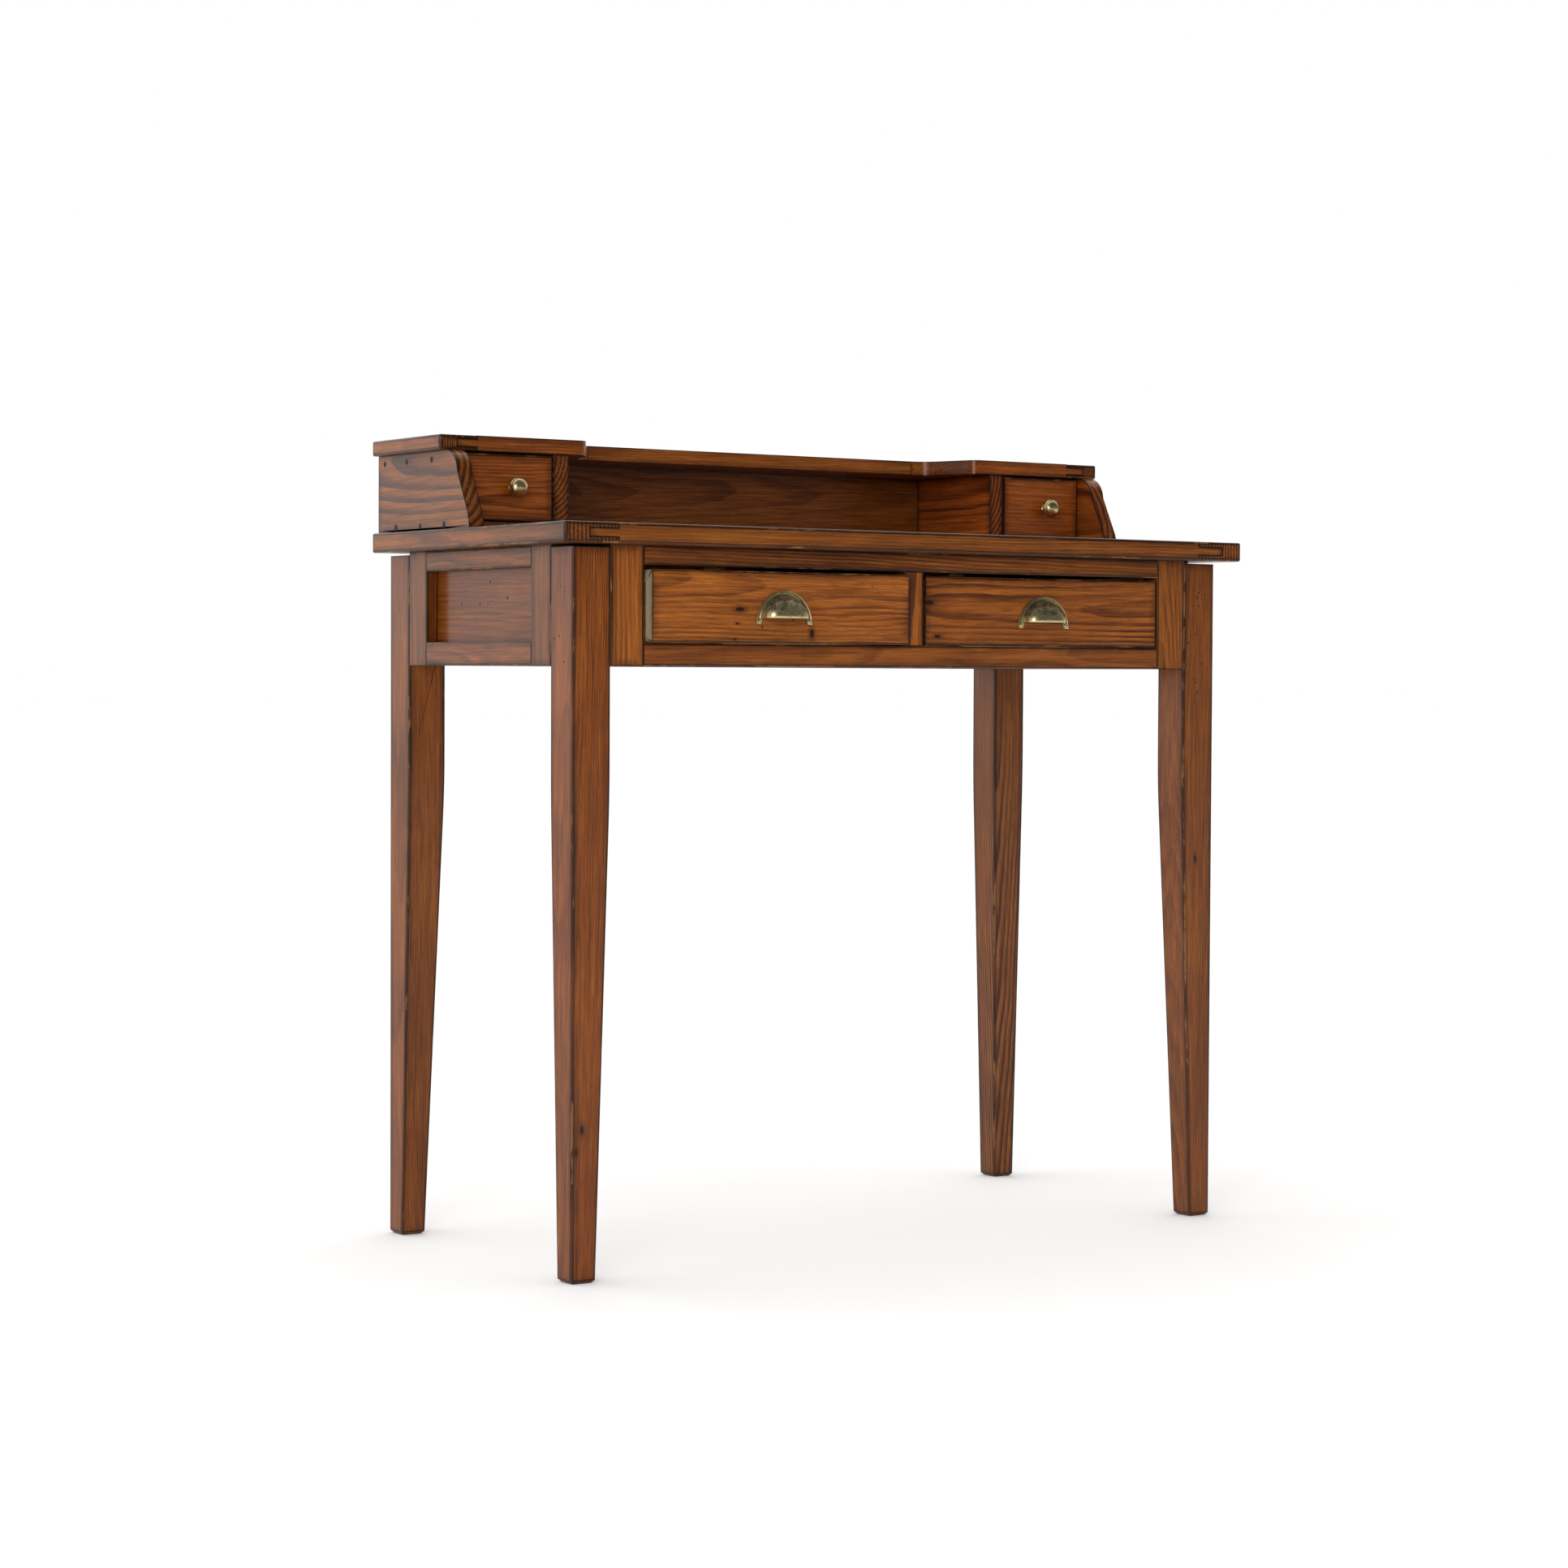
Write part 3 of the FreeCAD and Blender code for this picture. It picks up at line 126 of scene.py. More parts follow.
class Paint:
    """A material under construction."""

    def __init__(self, name):
        self.material = bpy.data.materials.new(name)
        self.material.use_nodes = True
        self.tree = self.material.node_tree
        self.tree.nodes.clear()

    def node(self, kind, settings=None, values=(), out=0):
        made = self.tree.nodes.new(kind)
        for key, setting in (settings or {}).items():
            setattr(made, key, setting)
        for key, value in (values.items() if isinstance(values, dict) else enumerate(values)):
            if isinstance(value, Value):
                self.tree.links.new(value.socket, made.inputs[key])
            else:
                made.inputs[key].default_value = value
        return Value(self, made.outputs[out])

    def attribute(self, name, out="Fac"):
        return self.node("ShaderNodeAttribute", {"attribute_name": name}, out=out)

    def split(self, vector):
        made = self.node("ShaderNodeSeparateXYZ", values=[vector]).socket.node
        return [Value(self, made.outputs[axis]) for axis in "XYZ"]

    def join(self, x, y, z):
        return self.node("ShaderNodeCombineXYZ", values=[x, y, z])

    def noise(self, vector, scale, detail=2.0, roughness=0.5):
        return self.node(
            "ShaderNodeTexNoise", {"noise_dimensions": "3D"},
            {"Vector": vector, "Scale": scale, "Detail": detail, "Roughness": roughness}, out=0,
        )

    def mix(self, factor, first, second, blend="MIX"):
        made = self.tree.nodes.new("ShaderNodeMix")
        made.data_type, made.blend_type = "RGBA", blend
        for index, value in ((0, factor), (6, first), (7, second)):
            if isinstance(value, Value):
                self.tree.links.new(value.socket, made.inputs[index])
            else:
                made.inputs[index].default_value = value if index == 0 else (*value, 1)
        return Value(self, made.outputs[2])

    def finish(self, constants, **linked):
        """The surface: constants stay on the shader's own sockets, and what varies is linked."""
        shader = self.tree.nodes.new("ShaderNodeBsdfPrincipled")
        for key, value in constants.items():
            shader.inputs[key].default_value = value
        for key, value in linked.items():
            self.tree.links.new(value.socket, shader.inputs[key.replace("_", " ")])
        output = self.tree.nodes.new("ShaderNodeOutputMaterial")
        self.tree.links.new(shader.outputs[0], output.inputs[0])
        return self.material

    def bump(self, height, strength, distance):
        return self.node(
            "ShaderNodeBump", values={"Strength": strength, "Distance": distance, "Height": height},
            out="Normal",
        )


def linear(red, green, blue):
    """A colour given as it looks on a screen, 0 to 255, as the light it stands for."""
    return tuple(
        ((part / 255 + 0.055) / 1.055) ** 2.4 if part > 10 else part / 3295 for part in (red, green, blue)
    )


print("the shader class is ready")

# %% [markdown]
# ## Timber with rings through it
# A plank is cut from a trunk, so its figure is a slice through rings. A flat image of grain would not
# meet at the corners. Here each point knows how far it lies from the tree's pith. Rings at even distances
# from the pith give arcs on an end, straight lines on a quartered face and tall arches on a flat one, with
# no extra work. Each board has its own pith, tilted a little, and a shift along its length so that no two
# boards share their noise.

# %% Where a point lies in its tree
FINE_RINGS, BOLD_RINGS = 330.0, 125.0  # rings to the metre


class Grain:
    """A point's place: along the grain, and across and deep from the pith, in metres."""

    def __init__(self, paint):
        self.paint = paint
        self.along, self.across, self.deep = paint.split(paint.attribute("grain", "Vector"))

    def noise(self, along, across, detail=2.0, roughness=0.5):
        """Noise with so many waves to the metre along the grain, and so many across it."""
        place = self.paint.join(self.along * along, self.across * across, self.deep * across)
        return self.paint.noise(place, 1.0, detail, roughness)


def late_wood(grain, bold):
    """The dark part of each ring, from 0 to 1."""
    # Slow waves bend the rings, far longer along the board than across it.
    wander = grain.noise(2.6, 11.0) - 0.5
    ripple = grain.noise(16.0, 55.0) - 0.5
    straight = (grain.across * grain.across + grain.deep * grain.deep).sqrt()
    radius = straight + wander * 0.017 + ripple * 0.0020
    ring = (radius * (FINE_RINGS - bold * (FINE_RINGS - BOLD_RINGS))).fract()
    # The pale early wood darkens slowly into the late wood, then stops sharply.
    return ring.fade(0.25, 0.88) * (1.0 - ring.fade(0.93, 1.0))


print("rings to the metre:", BOLD_RINGS, "to", FINE_RINGS)

# %% [markdown]
# ## Dirt, painted shade and knots
# A soft darkening near a board's ends and sides is partly old stain and dirt where rags and dusters don't
# reach, and partly painted shade where boards meet. A thin dark line runs along every joint. Both are worked
# out from values that a board's points carry, so they stay with the board when a drawer opens. The knots are
# placed as listed shares of a face or a leg.

# %% Marks of age and painted shade
SEAM = 0.40, 1.25  # a joint's dark line ends between these distances from the edge, in millimetres
DIRT_AND_SHADE_REACH = 0.0, 11.0  # and the soft darkening between these


def dirt_and_shade_near_edges(paint, uneven, patchy):
    """Darkening near a board's own ends and sides, from its half size and the way from its middle:
    dirt, and painted shade where boards meet.
    """
    half = paint.split(paint.attribute("half", "Vector"))
    away = paint.split(paint.attribute("away", "Vector"))
    reach = [size - place.abs() for size, place in zip(half, away)]
    reach = reach[0].least(reach[1]).least(reach[2]) * 1000.0
    return (1.0 - (reach + uneven * 8.0).fade(*DIRT_AND_SHADE_REACH)) * patchy.fade(0.22, 0.62)


def with_knots(paint, colour, knots, uneven, dark, burn):
    """Knots sit where they grew: a dark eye with a reddish ring, drawn out along the grain."""
    for place, stretch, width in knots:
        apart = paint.node("ShaderNodeVectorMath", {"operation": "SUBTRACT"}, [
            paint.node("ShaderNodeTexCoord", out="Object"), place,
        ])
        squeezed = paint.node("ShaderNodeVectorMath", {"operation": "MULTIPLY"}, [apart, stretch])
        span = paint.node("ShaderNodeVectorMath", {"operation": "LENGTH"}, [squeezed], out="Value")
        span = span / width + uneven * 0.5
        colour = paint.mix((1.0 - span.fade(0.9, 1.7)) * 0.6, colour, dark)
        colour = paint.mix((1.0 - span.fade(0.45, 0.8)) * 0.92, colour, burn)
    return colour


print("dark lines end", SEAM[1], "mm from an edge")

# %% [markdown]
# ## The finish, layer by layer
# Each line that mixes a colour is one layer, from the rings of the bare wood up to the wear and the painted
# highlights on its edges.
# Some of the same values also shape the bump and the roughness, so that a dark joint is also a groove.
# What changes over the surface feeds only the colour, the roughness and the bump, and the rest is set on
# the shader itself.

# %% Timber
def timber(name, light, dark, burn, worn, gloss, coat, painted_sheen, knots=()):
    """Pine under a finish: light and dark wood of a ring, dark stain and painted shade in corners, worn
    wood and a painted highlight at edges.
    """
    paint = Paint(name)
    grain = Grain(paint)
    tone, end, bold, red, sheen_mask, border, rim = [
        paint.attribute(mark) for mark in ("tone", "end", "bold", "red", "painted_sheen", "border", "rim")
    ]
    late = late_wood(grain, bold)
    strength = grain.noise(1.5, 24.0).fade(0.30, 0.75)
    streak = grain.noise(3.0, 190.0, 3.0, 0.6)
    coarse = grain.noise(10.0, 430.0, 3.0, 0.65)
    fibre = grain.noise(24.0, 1300.0, 2.0, 0.6)
    pores = grain.noise(70.0, 1500.0, 1.0).fade(0.66, 0.78)
    cloud = grain.noise(6.0, 16.0, 3.0, 0.6)

    figure = late * (0.14 + strength * 0.60) * (1.0 + bold * 1.7) + end * late * 0.85
    colour = paint.mix(figure.least(0.95), light, dark)
    colour = paint.mix((streak - 0.36).most(0.0) * 1.1, colour, dark)
    colour = paint.mix((coarse - 0.48).most(0.0) * 1.7, colour, burn)
    colour = paint.mix((0.46 - coarse).most(0.0) * 1.6, colour, worn)
    colour = paint.mix((fibre - 0.42).most(0.0) * 1.5, colour, burn)
    colour = paint.mix(pores * 0.5, colour, burn)
    # Stain takes unevenly: broad clouds, and each board a little apart from the next.
    shade = 0.58 + cloud * 0.70 + tone
    colour = paint.mix(1.0, colour, paint.join(
        shade, shade * (0.90 + cloud * 0.2 - red), shade * (1.0 - red * 1.4),
    ), "MULTIPLY")
    colour = paint.mix(end * 0.18, colour, burn)
    # A painted sheen: the left end of the left drawer front, towards the light, is painted pale grey.
    colour = paint.mix(sheen_mask, colour, painted_sheen)

    uneven = grain.noise(45.0, 210.0, 3.0, 0.6) - 0.5
    patchy = grain.noise(8.0, 26.0)
    dirt_and_shade = dirt_and_shade_near_edges(paint, uneven, patchy)
    # Soft darkening near the ends and sides: dirt, and painted shade where boards meet.
    colour = paint.mix(dirt_and_shade * 0.55, colour, burn)
    # The border attribute is the distance to the nearest edge or joint, as far as its strip reaches.
    seam = 1.0 - (border + uneven * 0.9).fade(*SEAM)
    colour = paint.mix(seam * (0.95 - rim * 0.40), colour, burn)
    # Edges that stand out are paler here and there: partly wood rubbed back by wear, partly a painted
    # highlight along the rounded edge.
    wear_and_highlight = rim * (patchy + uneven * 0.9).fade(0.58, 0.72)
    colour = paint.mix(wear_and_highlight * 0.35, colour, worn)
    colour = with_knots(paint, colour, knots, uneven, dark, burn)

    height = fibre * 0.5 - late * 0.35 - pores - seam * 1.5 + uneven * 0.4
    rough = gloss + fibre * 0.16 + wear_and_highlight * 0.15 + dirt_and_shade * 0.10 + sheen_mask * 0.3
    return paint.finish(
        {
            "Coat Weight": coat, "Coat Roughness": 0.20, "Specular IOR Level": 0.12,
            "Specular Tint": (*light, 1),
        },
        Base_Color=colour, Roughness=rough, Normal=paint.bump(height, 0.30, 0.0003),
    )


LEFT_FACE, RIGHT_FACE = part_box("left_drawer_front"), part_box("right_drawer_front")
LEFT_LEG, RIGHT_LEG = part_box("front_left_leg"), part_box("front_right_leg")
WAY_X, WAY_Z = (0.42, 1.0, 1.0), (1.0, 1.0, 0.4)  # knots drawn out along X and along Z


def on_face(box, share_x, share_z):
    """A point on the front of a board, as shares of its width and height."""
    low, high = Vector(box[0]), Vector(box[1])
    return (low.x + (high.x - low.x) * share_x, low.y, low.z + (high.z - low.z) * share_z)


KNOTS = [  # middle, how much each axis counts, and radius
    (on_face(LEFT_FACE, 0.61, 0.15), (1.0, 1.0, 0.55), 0.0042),
    (on_face(LEFT_FACE, 0.33, 0.47), WAY_X, 0.0036),
    (on_face(LEFT_FACE, 0.32, 0.27), WAY_X, 0.0014),
    (on_face(LEFT_FACE, 0.31, 0.05), WAY_X, 0.0016),
    (on_face(RIGHT_FACE, 0.015, 0.62), WAY_X, 0.0044),
    (on_face(RIGHT_FACE, 0.05, 0.13), WAY_X, 0.0030),
    (on_face(LEFT_LEG, 0.27, 0.21), WAY_Z, 0.0030),
    (on_face(LEFT_LEG, 0.12, 0.18), WAY_Z, 0.0026),
    (on_face(RIGHT_LEG, 0.45, 0.55), WAY_Z, 0.0030),
]
# The last colour of the stained pine is a pale grey, painted as sheen on the left drawer front's left end.
STAINED = timber(
    "stained_pine", linear(158, 88, 27), linear(80, 37, 10), linear(14, 7, 4), linear(176, 120, 66),
    0.46, 0.42, linear(158, 142, 116), KNOTS,
)
RAW = timber(
    "raw_pine", linear(206, 172, 128), linear(168, 122, 78), linear(92, 64, 40), linear(214, 188, 150),
    0.62, 0.0, linear(200, 170, 130),
)
PLY = timber(
    "plywood", linear(198, 164, 120), linear(176, 138, 94), linear(110, 80, 52), linear(206, 178, 140),
    0.6, 0.0, linear(198, 164, 120),
)
print("timbers:", STAINED.name, RAW.name, PLY.name)

# %% [markdown]
# ## Boards
# A CAD node can hold several boards, and its mesh is loose triangles. Each board is copied, its doubles
# are merged and its loose parts are told apart. Dark stain gathers along every edge and joint, so the
# finish has to know how near an edge is. A box would give that for a plain board only, not for a tongue, a
# slot or a curve. Instead each broad region is inset by a narrow strip, which carries the distance to the
# true edge in millimetres. That follows any outline. The wide, soft darkening further in, dirt and painted
# shade where boards meet, only needs the board's own box, so each point also carries its place in that box.

# %% Boards that differ from the rest
GRAIN = {"left_drawer_bottom": 0, "right_drawer_bottom": 0}  # along X, though Y is their longer side
BOLD = {
    "gallery_left_side": 1.0, "gallery_right_side": 1.0, "front_muntin": 0.8, "right_drawer_front": 0.5,
    "front_top_rail": 0.4, "desktop_left_end": 0.5, "desktop_right_end": 0.5, "gallery_left_partition": 0.7,
    "gallery_right_partition": 0.7, "back_right_leg": 0.6,
}
TONE = {
    "front_left_leg": -0.26, "front_right_leg": -0.26, "back_left_leg": -0.24, "back_right_leg": -0.26,
    "left_side_panel": -0.32, "left_side_stiles": -0.24, "left_side_rails": -0.24, "gallery_left_side": -0.12,
    "desktop_board_1": -0.10, "desktop_left_end": -0.12,
    "gallery_back": -0.20, "front_left_stile": 0.12, "left_drawer_front": 0.10, "front_bottom_rail": -0.04,
    "front_top_rail": -0.16, "gallery_right_partition": 0.14, "right_drawer_front": -0.03,
}
RED = {  # boards that took the stain redder than the rest
    "gallery_right_partition": 0.26, "gallery_back": 0.04, "left_small_drawer_front": 0.14,
    "right_small_drawer_front": 0.18, "gallery_right_side": 0.16, "gallery_top_left_wing": 0.10,
    "gallery_top_right_wing": 0.14, "right_drawer_front": 0.06, "front_right_leg": 0.06,
    "front_left_leg": 0.12, "left_side_panel": 0.10, "left_side_rails": 0.06, "back_left_leg": 0.06,
    "front_bottom_rail": 0.04,
}
QUARTERED = {  # rings stand across these boards' width, so their ends show upright stripes
    "desktop_left_end", "desktop_right_end", "gallery_top_left_end", "gallery_top_right_end",
    "front_left_leg", "front_right_leg", "back_left_leg",
}
print(len(BOLD), "boards with a bold figure,", len(RED), "redder ones")

# %% [markdown]
# ## Telling boards and faces apart
# One walk over a mesh finds a node's boards or a board's faces, depending on which edges it may cross.
# Separate by Loose Parts finds the boards too, but as objects that would have to be joined again. Boards
# that share an edge are found as one, as a drawer's sides and back are.

# %% Connected parts
def loose_parts(faces, joined=lambda edge: True):
    """The faces of each connected part, where an edge may be crossed only if joined(edge)."""
    left, parts = set(faces), []
    while left:
        stack, part = [left.pop()], []
        while stack:
            face = stack.pop()
            part.append(face)
            for edge in face.edges:
                if joined(edge):
                    for other in edge.link_faces:
                        if other in left:
                            left.remove(other)
                            stack.append(other)
        parts.append(sorted(part, key=lambda face: face.index))
    return sorted(parts, key=lambda part: part[0].index)


def nearly_flat(degrees):
    limit = math.radians(degrees)
    return lambda edge: len(edge.link_faces) == 2 and edge.calc_face_angle(math.pi) < limit


def outline_length(faces):
    """The length of a region's outline."""
    inside = set(faces)
    return sum(
        edge.calc_length() for edge in {edge for face in faces for edge in face.edges}
        if sum(face in inside for face in edge.link_faces) == 1
    )


print("ready: loose_parts, nearly_flat, outline_length")

# %% [markdown]
# ## The border strip
# Inset Region makes a strip of even width inside any outline. At a sharp corner an even width can throw a
# vertex far off, so each inner vertex is held near its outer one. Facets too narrow to be a face belong to
# a rounded edge, and they get the rim mark instead, because that is where wood is rubbed and where a
# highlight is painted on.

# %% Border strips
BORDER = 0.0026
NARROW = 0.28  # on a narrow face the strip is this share of its width
LONGEST_STEP = 1.5  # in widths of the strip
ROUND_WIDTH = 0.0014  # a facet narrower than this belongs to a rounded edge
SAME_FACET, SAME_FACE = 0.4, 22  # degrees between neighbours


def inset_regions(work, border, rim):
    """Gives each broad region, flat or gently curved, a border strip that knows its distance to the edge."""
    work.faces.index_update()
    broad = set()
    for facet in loose_parts(work.faces, nearly_flat(SAME_FACET)):
        length = outline_length(facet)
        if length and 2 * sum(face.calc_area() for face in facet) / length > ROUND_WIDTH:
            broad.update(facet)
    for face in work.faces:
        if face not in broad:
            for loop in face.loops:
                loop[rim], loop[border] = 1.0, 0.0
    flat_enough = nearly_flat(SAME_FACE)
    for region in loose_parts(
        broad, lambda edge: flat_enough(edge) and all(face in broad for face in edge.link_faces),
    ):
        width = 2 * sum(face.calc_area() for face in region) / outline_length(region)
        depth = min(BORDER, width * NARROW)
        strip = bmesh.ops.inset_region(
            work, faces=region, thickness=depth, use_even_offset=True, use_boundary=True,
        )["faces"]
        inner = {vertex for face in region if face.is_valid for vertex in face.verts}
        for vertex in inner:  # at a sharp corner an even strip would shoot out into a spike
            for outer in [edge.other_vert(vertex) for edge in vertex.link_edges]:
                step = vertex.co - outer.co
                if outer not in inner and step.length > depth * LONGEST_STEP:
                    vertex.co = outer.co + step.normalized() * depth * LONGEST_STEP
        for face in {*strip, *(face for face in region if face.is_valid)}:
            for loop in face.loops:
                loop[border] = depth * 1000 if loop.vert in inner else 0.0


print("strips up to", BORDER * 1000, "mm wide")

# %% [markdown]
# ## Dressing the boards
# Each part gets its own pith from a fixed seed, so the boards differ and each run gives the same desk. The
# values are stored on face corners, because one vertex can lie on an end and on a side at once.

# %% Dress
BOARD_CREASE = 34  # degrees: sharper edges stay crisp
dice = random.Random(41)


def dress(node, material):
    """Copies a node's boards with what the finish needs, and puts the copy in its place."""
    work = bmesh.new()
    work.from_mesh(frame["nodes"][node].data)
    bmesh.ops.remove_doubles(work, verts=work.verts, dist=1e-6)
    bmesh.ops.dissolve_degenerate(work, edges=work.edges, dist=1e-7)
    grain, half, off = [work.loops.layers.float_vector.new(name) for name in ("grain", "half", "away")]
    marks = {
        name: work.loops.layers.float.new(name)
        for name in ("tone", "end", "rim", "painted_sheen", "border", "bold", "red")
    }
    inset_regions(work, marks["border"], marks["rim"])
    work.faces.index_update()
    work.normal_update()
    for part in loose_parts(list(work.faces)):
        points = np.array([vertex.co for face in part for vertex in face.verts])
        low, high = Vector(points.min(0)), Vector(points.max(0))
        size, middle = high - low, (low + high) / 2
        axis = GRAIN.get(node, max(range(3), key=lambda index: size[index]))
        thin = min((index for index in range(3) if index != axis), key=lambda index: size[index])
        wide = 3 - axis - thin
        pith = dice.uniform(-0.6, 0.6) * size[wide], -dice.uniform(0.030, 0.090)
        if node in QUARTERED:
            pith = dice.uniform(0.07, 0.12), dice.uniform(-0.01, 0.01)
        tilt = dice.uniform(-0.02, 0.02), dice.uniform(-0.03, 0.03)
        shift, tone = dice.uniform(-20, 20), TONE.get(node, 0.0) + dice.uniform(-0.05, 0.06)
        for face in part:
            face.smooth = True
            is_end = 1.0 if abs(face.normal[axis]) > 0.8 else 0.0
            # The left end of the left drawer front, the side towards the light, is marked for a painted
            # sheen.
            sheen_mask = 1.0 if node == "left_drawer_front" and face.normal.x < -0.9 else 0.0
            facing = max(range(3), key=lambda index: abs(face.normal[index]))
            halves = [size[index] / 2 + (index == facing) for index in range(3)]  # not towards its own face
            for loop in face.loops:
                away = loop.vert.co - middle
                loop[grain] = (
                    away[axis] + shift, away[wide] - pith[0] + away[axis] * tilt[0],
                    away[thin] - pith[1] + away[axis] * tilt[1],
                )
                loop[marks["tone"]], loop[marks["end"]], loop[marks["painted_sheen"]] = tone, is_end, sheen_mask
                loop[marks["bold"]], loop[marks["red"]] = BOLD.get(node, 0.0), RED.get(node, 0.0)
                loop[half], loop[off] = halves, away
    mesh = bpy.data.meshes.new(f"{node}_board")
    work.to_mesh(mesh)
    work.free()
    if "custom_normal" in mesh.attributes:  # the loose triangles' own normals no longer fit
        mesh.attributes.remove(mesh.attributes["custom_normal"])
    mesh.materials.clear()
    mesh.materials.append(material)
    mesh.set_sharp_from_angle(angle=math.radians(BOARD_CREASE))
    board = bpy.data.objects.new(f"{node}_board", mesh)
    scene.collection.objects.link(board)
    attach(board, BODY_OF[node])
    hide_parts(node)
    return board


TIMBERS = {"stained_pine": STAINED, "raw_pine": RAW, "plywood": PLY}
SLOT_OF = {entry["node"]: entry["material_slot"] for entry in frame["record"]["subparts"]}
boards = [dress(node, TIMBERS[slot]) for node, slot in sorted(SLOT_OF.items()) if slot in TIMBERS]
print(len(boards), "pieces of timber,", sum(len(board.data.polygons) for board in boards), "faces")

# %% [markdown]
# ## Metals
# The pulls and knobs are brass with an antique finish: a dark patina left in the hollows and rubbed
# through to bright metal where fingers touch. The rub attribute says where, and noise breaks it up. The
# screws are zinc plated, and the old nails are black.

# %% Brass, zinc and iron
def antique_brass():
    paint = Paint("antique_brass")
    at = paint.node("ShaderNodeTexCoord", out="Object")
    mottle = paint.noise(at, 520.0, 4.0, 0.65)
    cloud = paint.noise(at, 110.0, 2.0)
    speck = paint.noise(at, 2100.0, 2.0).fade(0.56, 0.70)
    rub = paint.attribute("rub")
    patina = (mottle * 0.6 + cloud * 0.45 + speck * 0.30 + 0.10 - rub * 0.50).fade(0.38, 0.78)
    colour = paint.mix(patina, linear(206, 188, 140), linear(44, 43, 34))
    return paint.finish(
        {"Coat Weight": 0.15}, Base_Color=colour, Metallic=1.0 - patina * 0.35,
        Roughness=0.26 + patina * 0.24, Normal=paint.bump(mottle, 0.18, 0.0002),
    )


def plain_metal(name, light, dark, rough, metallic):
    paint = Paint(name)
    at = paint.node("ShaderNodeTexCoord", out="Object")
    mottle = paint.noise(at, 700.0, 3.0)
    return paint.finish(
        {"Metallic": metallic}, Base_Color=paint.mix(mottle.fade(0.35, 0.7), light, dark),
        Roughness=rough + mottle * 0.2, Normal=paint.bump(mottle, 0.15, 0.0001),
    )


METALS = {
    "antique_brass": antique_brass(),
    "zinc_steel": plain_metal("zinc_steel", linear(190, 192, 194), linear(140, 142, 146), 0.25, 1.0),
    "dark_iron": plain_metal("dark_iron", linear(24, 17, 14), linear(8, 6, 6), 0.62, 0.1),
}
for node, slot in SLOT_OF.items():
    if slot in METALS:
        mesh = frame["nodes"][node].data
        mesh.materials.clear()
        mesh.materials.append(METALS[slot])
print("metals:", sorted(METALS))

# %% [markdown]
# ## Cup pulls and knobs
# A cup pull is pressed from sheet: a hollow cup that fingers reach up into, on a flat half ring with a
# bead round it that ends in two small scrolls. Each shape is a grid of points. The ring is one outline
# carried round an arch. The cup is two such grids, outside and inside, sewn together at the lip, so the
# sheet has a real thickness. The knobs are turned, which is an outline carried round a full circle.

# %% Grids of points
BRASS_CREASE = 38  # degrees


def grid_mesh(rows, rub, closed_columns=False):
    """Skins rows of points, and gives every point the amount that it is rubbed bright."""
    work = bmesh.new()
    layer = work.verts.layers.float.new("rub")
    points = []
    for row, places in enumerate(rows):
        points.append([work.verts.new(place) for place in places])
        for column, vertex in enumerate(points[-1]):
            vertex[layer] = rub(row, column)
    tall, long = len(rows), len(rows[0])
    for row in range(tall - 1):
        for column in range(long if closed_columns else long - 1):
            above, beside = row + 1, (column + 1) % long
            work.faces.new((
                points[row][column], points[row][beside], points[above][beside], points[above][column],
            ))
    if closed_columns:  # both ends of a bar are closed
        work.faces.new(points[0])
        work.faces.new(points[-1])
    return work


def brass_piece(name, works, body, *nodes):
    """Joins finished skins into one piece of brass."""
    mesh = bpy.data.meshes.new(name)
    whole = bmesh.new()
    for work in works:
        bmesh.ops.remove_doubles(work, verts=work.verts, dist=1e-6)
        bmesh.ops.dissolve_degenerate(work, edges=work.edges, dist=1e-7)
        bmesh.ops.recalc_face_normals(work, faces=work.faces)
        for face in work.faces:
            face.smooth = True
        part = bpy.data.meshes.new("part")
        work.to_mesh(part)
        work.free()
        whole.from_mesh(part)
        bpy.data.meshes.remove(part)
    whole.to_mesh(mesh)
    open_edges = sum(not edge.is_manifold for edge in whole.edges)
    whole.free()
    mesh.materials.append(METALS["antique_brass"])
    mesh.set_sharp_from_angle(angle=math.radians(BRASS_CREASE))
    piece = bpy.data.objects.new(name, mesh)
    scene.collection.objects.link(piece)
    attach(piece, body)
    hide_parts(*nodes)
    print(name, len(mesh.polygons), "faces,", open_edges, "open edges")


def turned(foot, outline, sides, bright):
    """A round piece that stands out from a drawer: its outline is radius and height, in millimetres."""
    foot, rows = Vector(foot), []
    for radius, out in [(0.0, 0.0), *outline]:
        rows.append([
            tuple(foot + Vector((
                radius / 1000 * math.cos(math.tau * side / sides), -out / 1000,
                radius / 1000 * math.sin(math.tau * side / sides),
            ))) for side in range(sides)
        ])
    work = grid_mesh(rows, lambda row, column: (0.0, *bright)[row], closed_columns=True)
    for end in (face for face in list(work.faces) if len(face.verts) > 4):
        work.faces.remove(end)
    return work


print("ready: grid_mesh, brass_piece, turned")

# %% [markdown]
# ## The cup and its ring
# Seen from above the cup is fuller than an ellipse, so its outline is a superellipse. The ring round it has
# a bead, a groove and an inner ridge, and its two high places are rubbed brightest. The pull's width, its
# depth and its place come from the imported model's box.

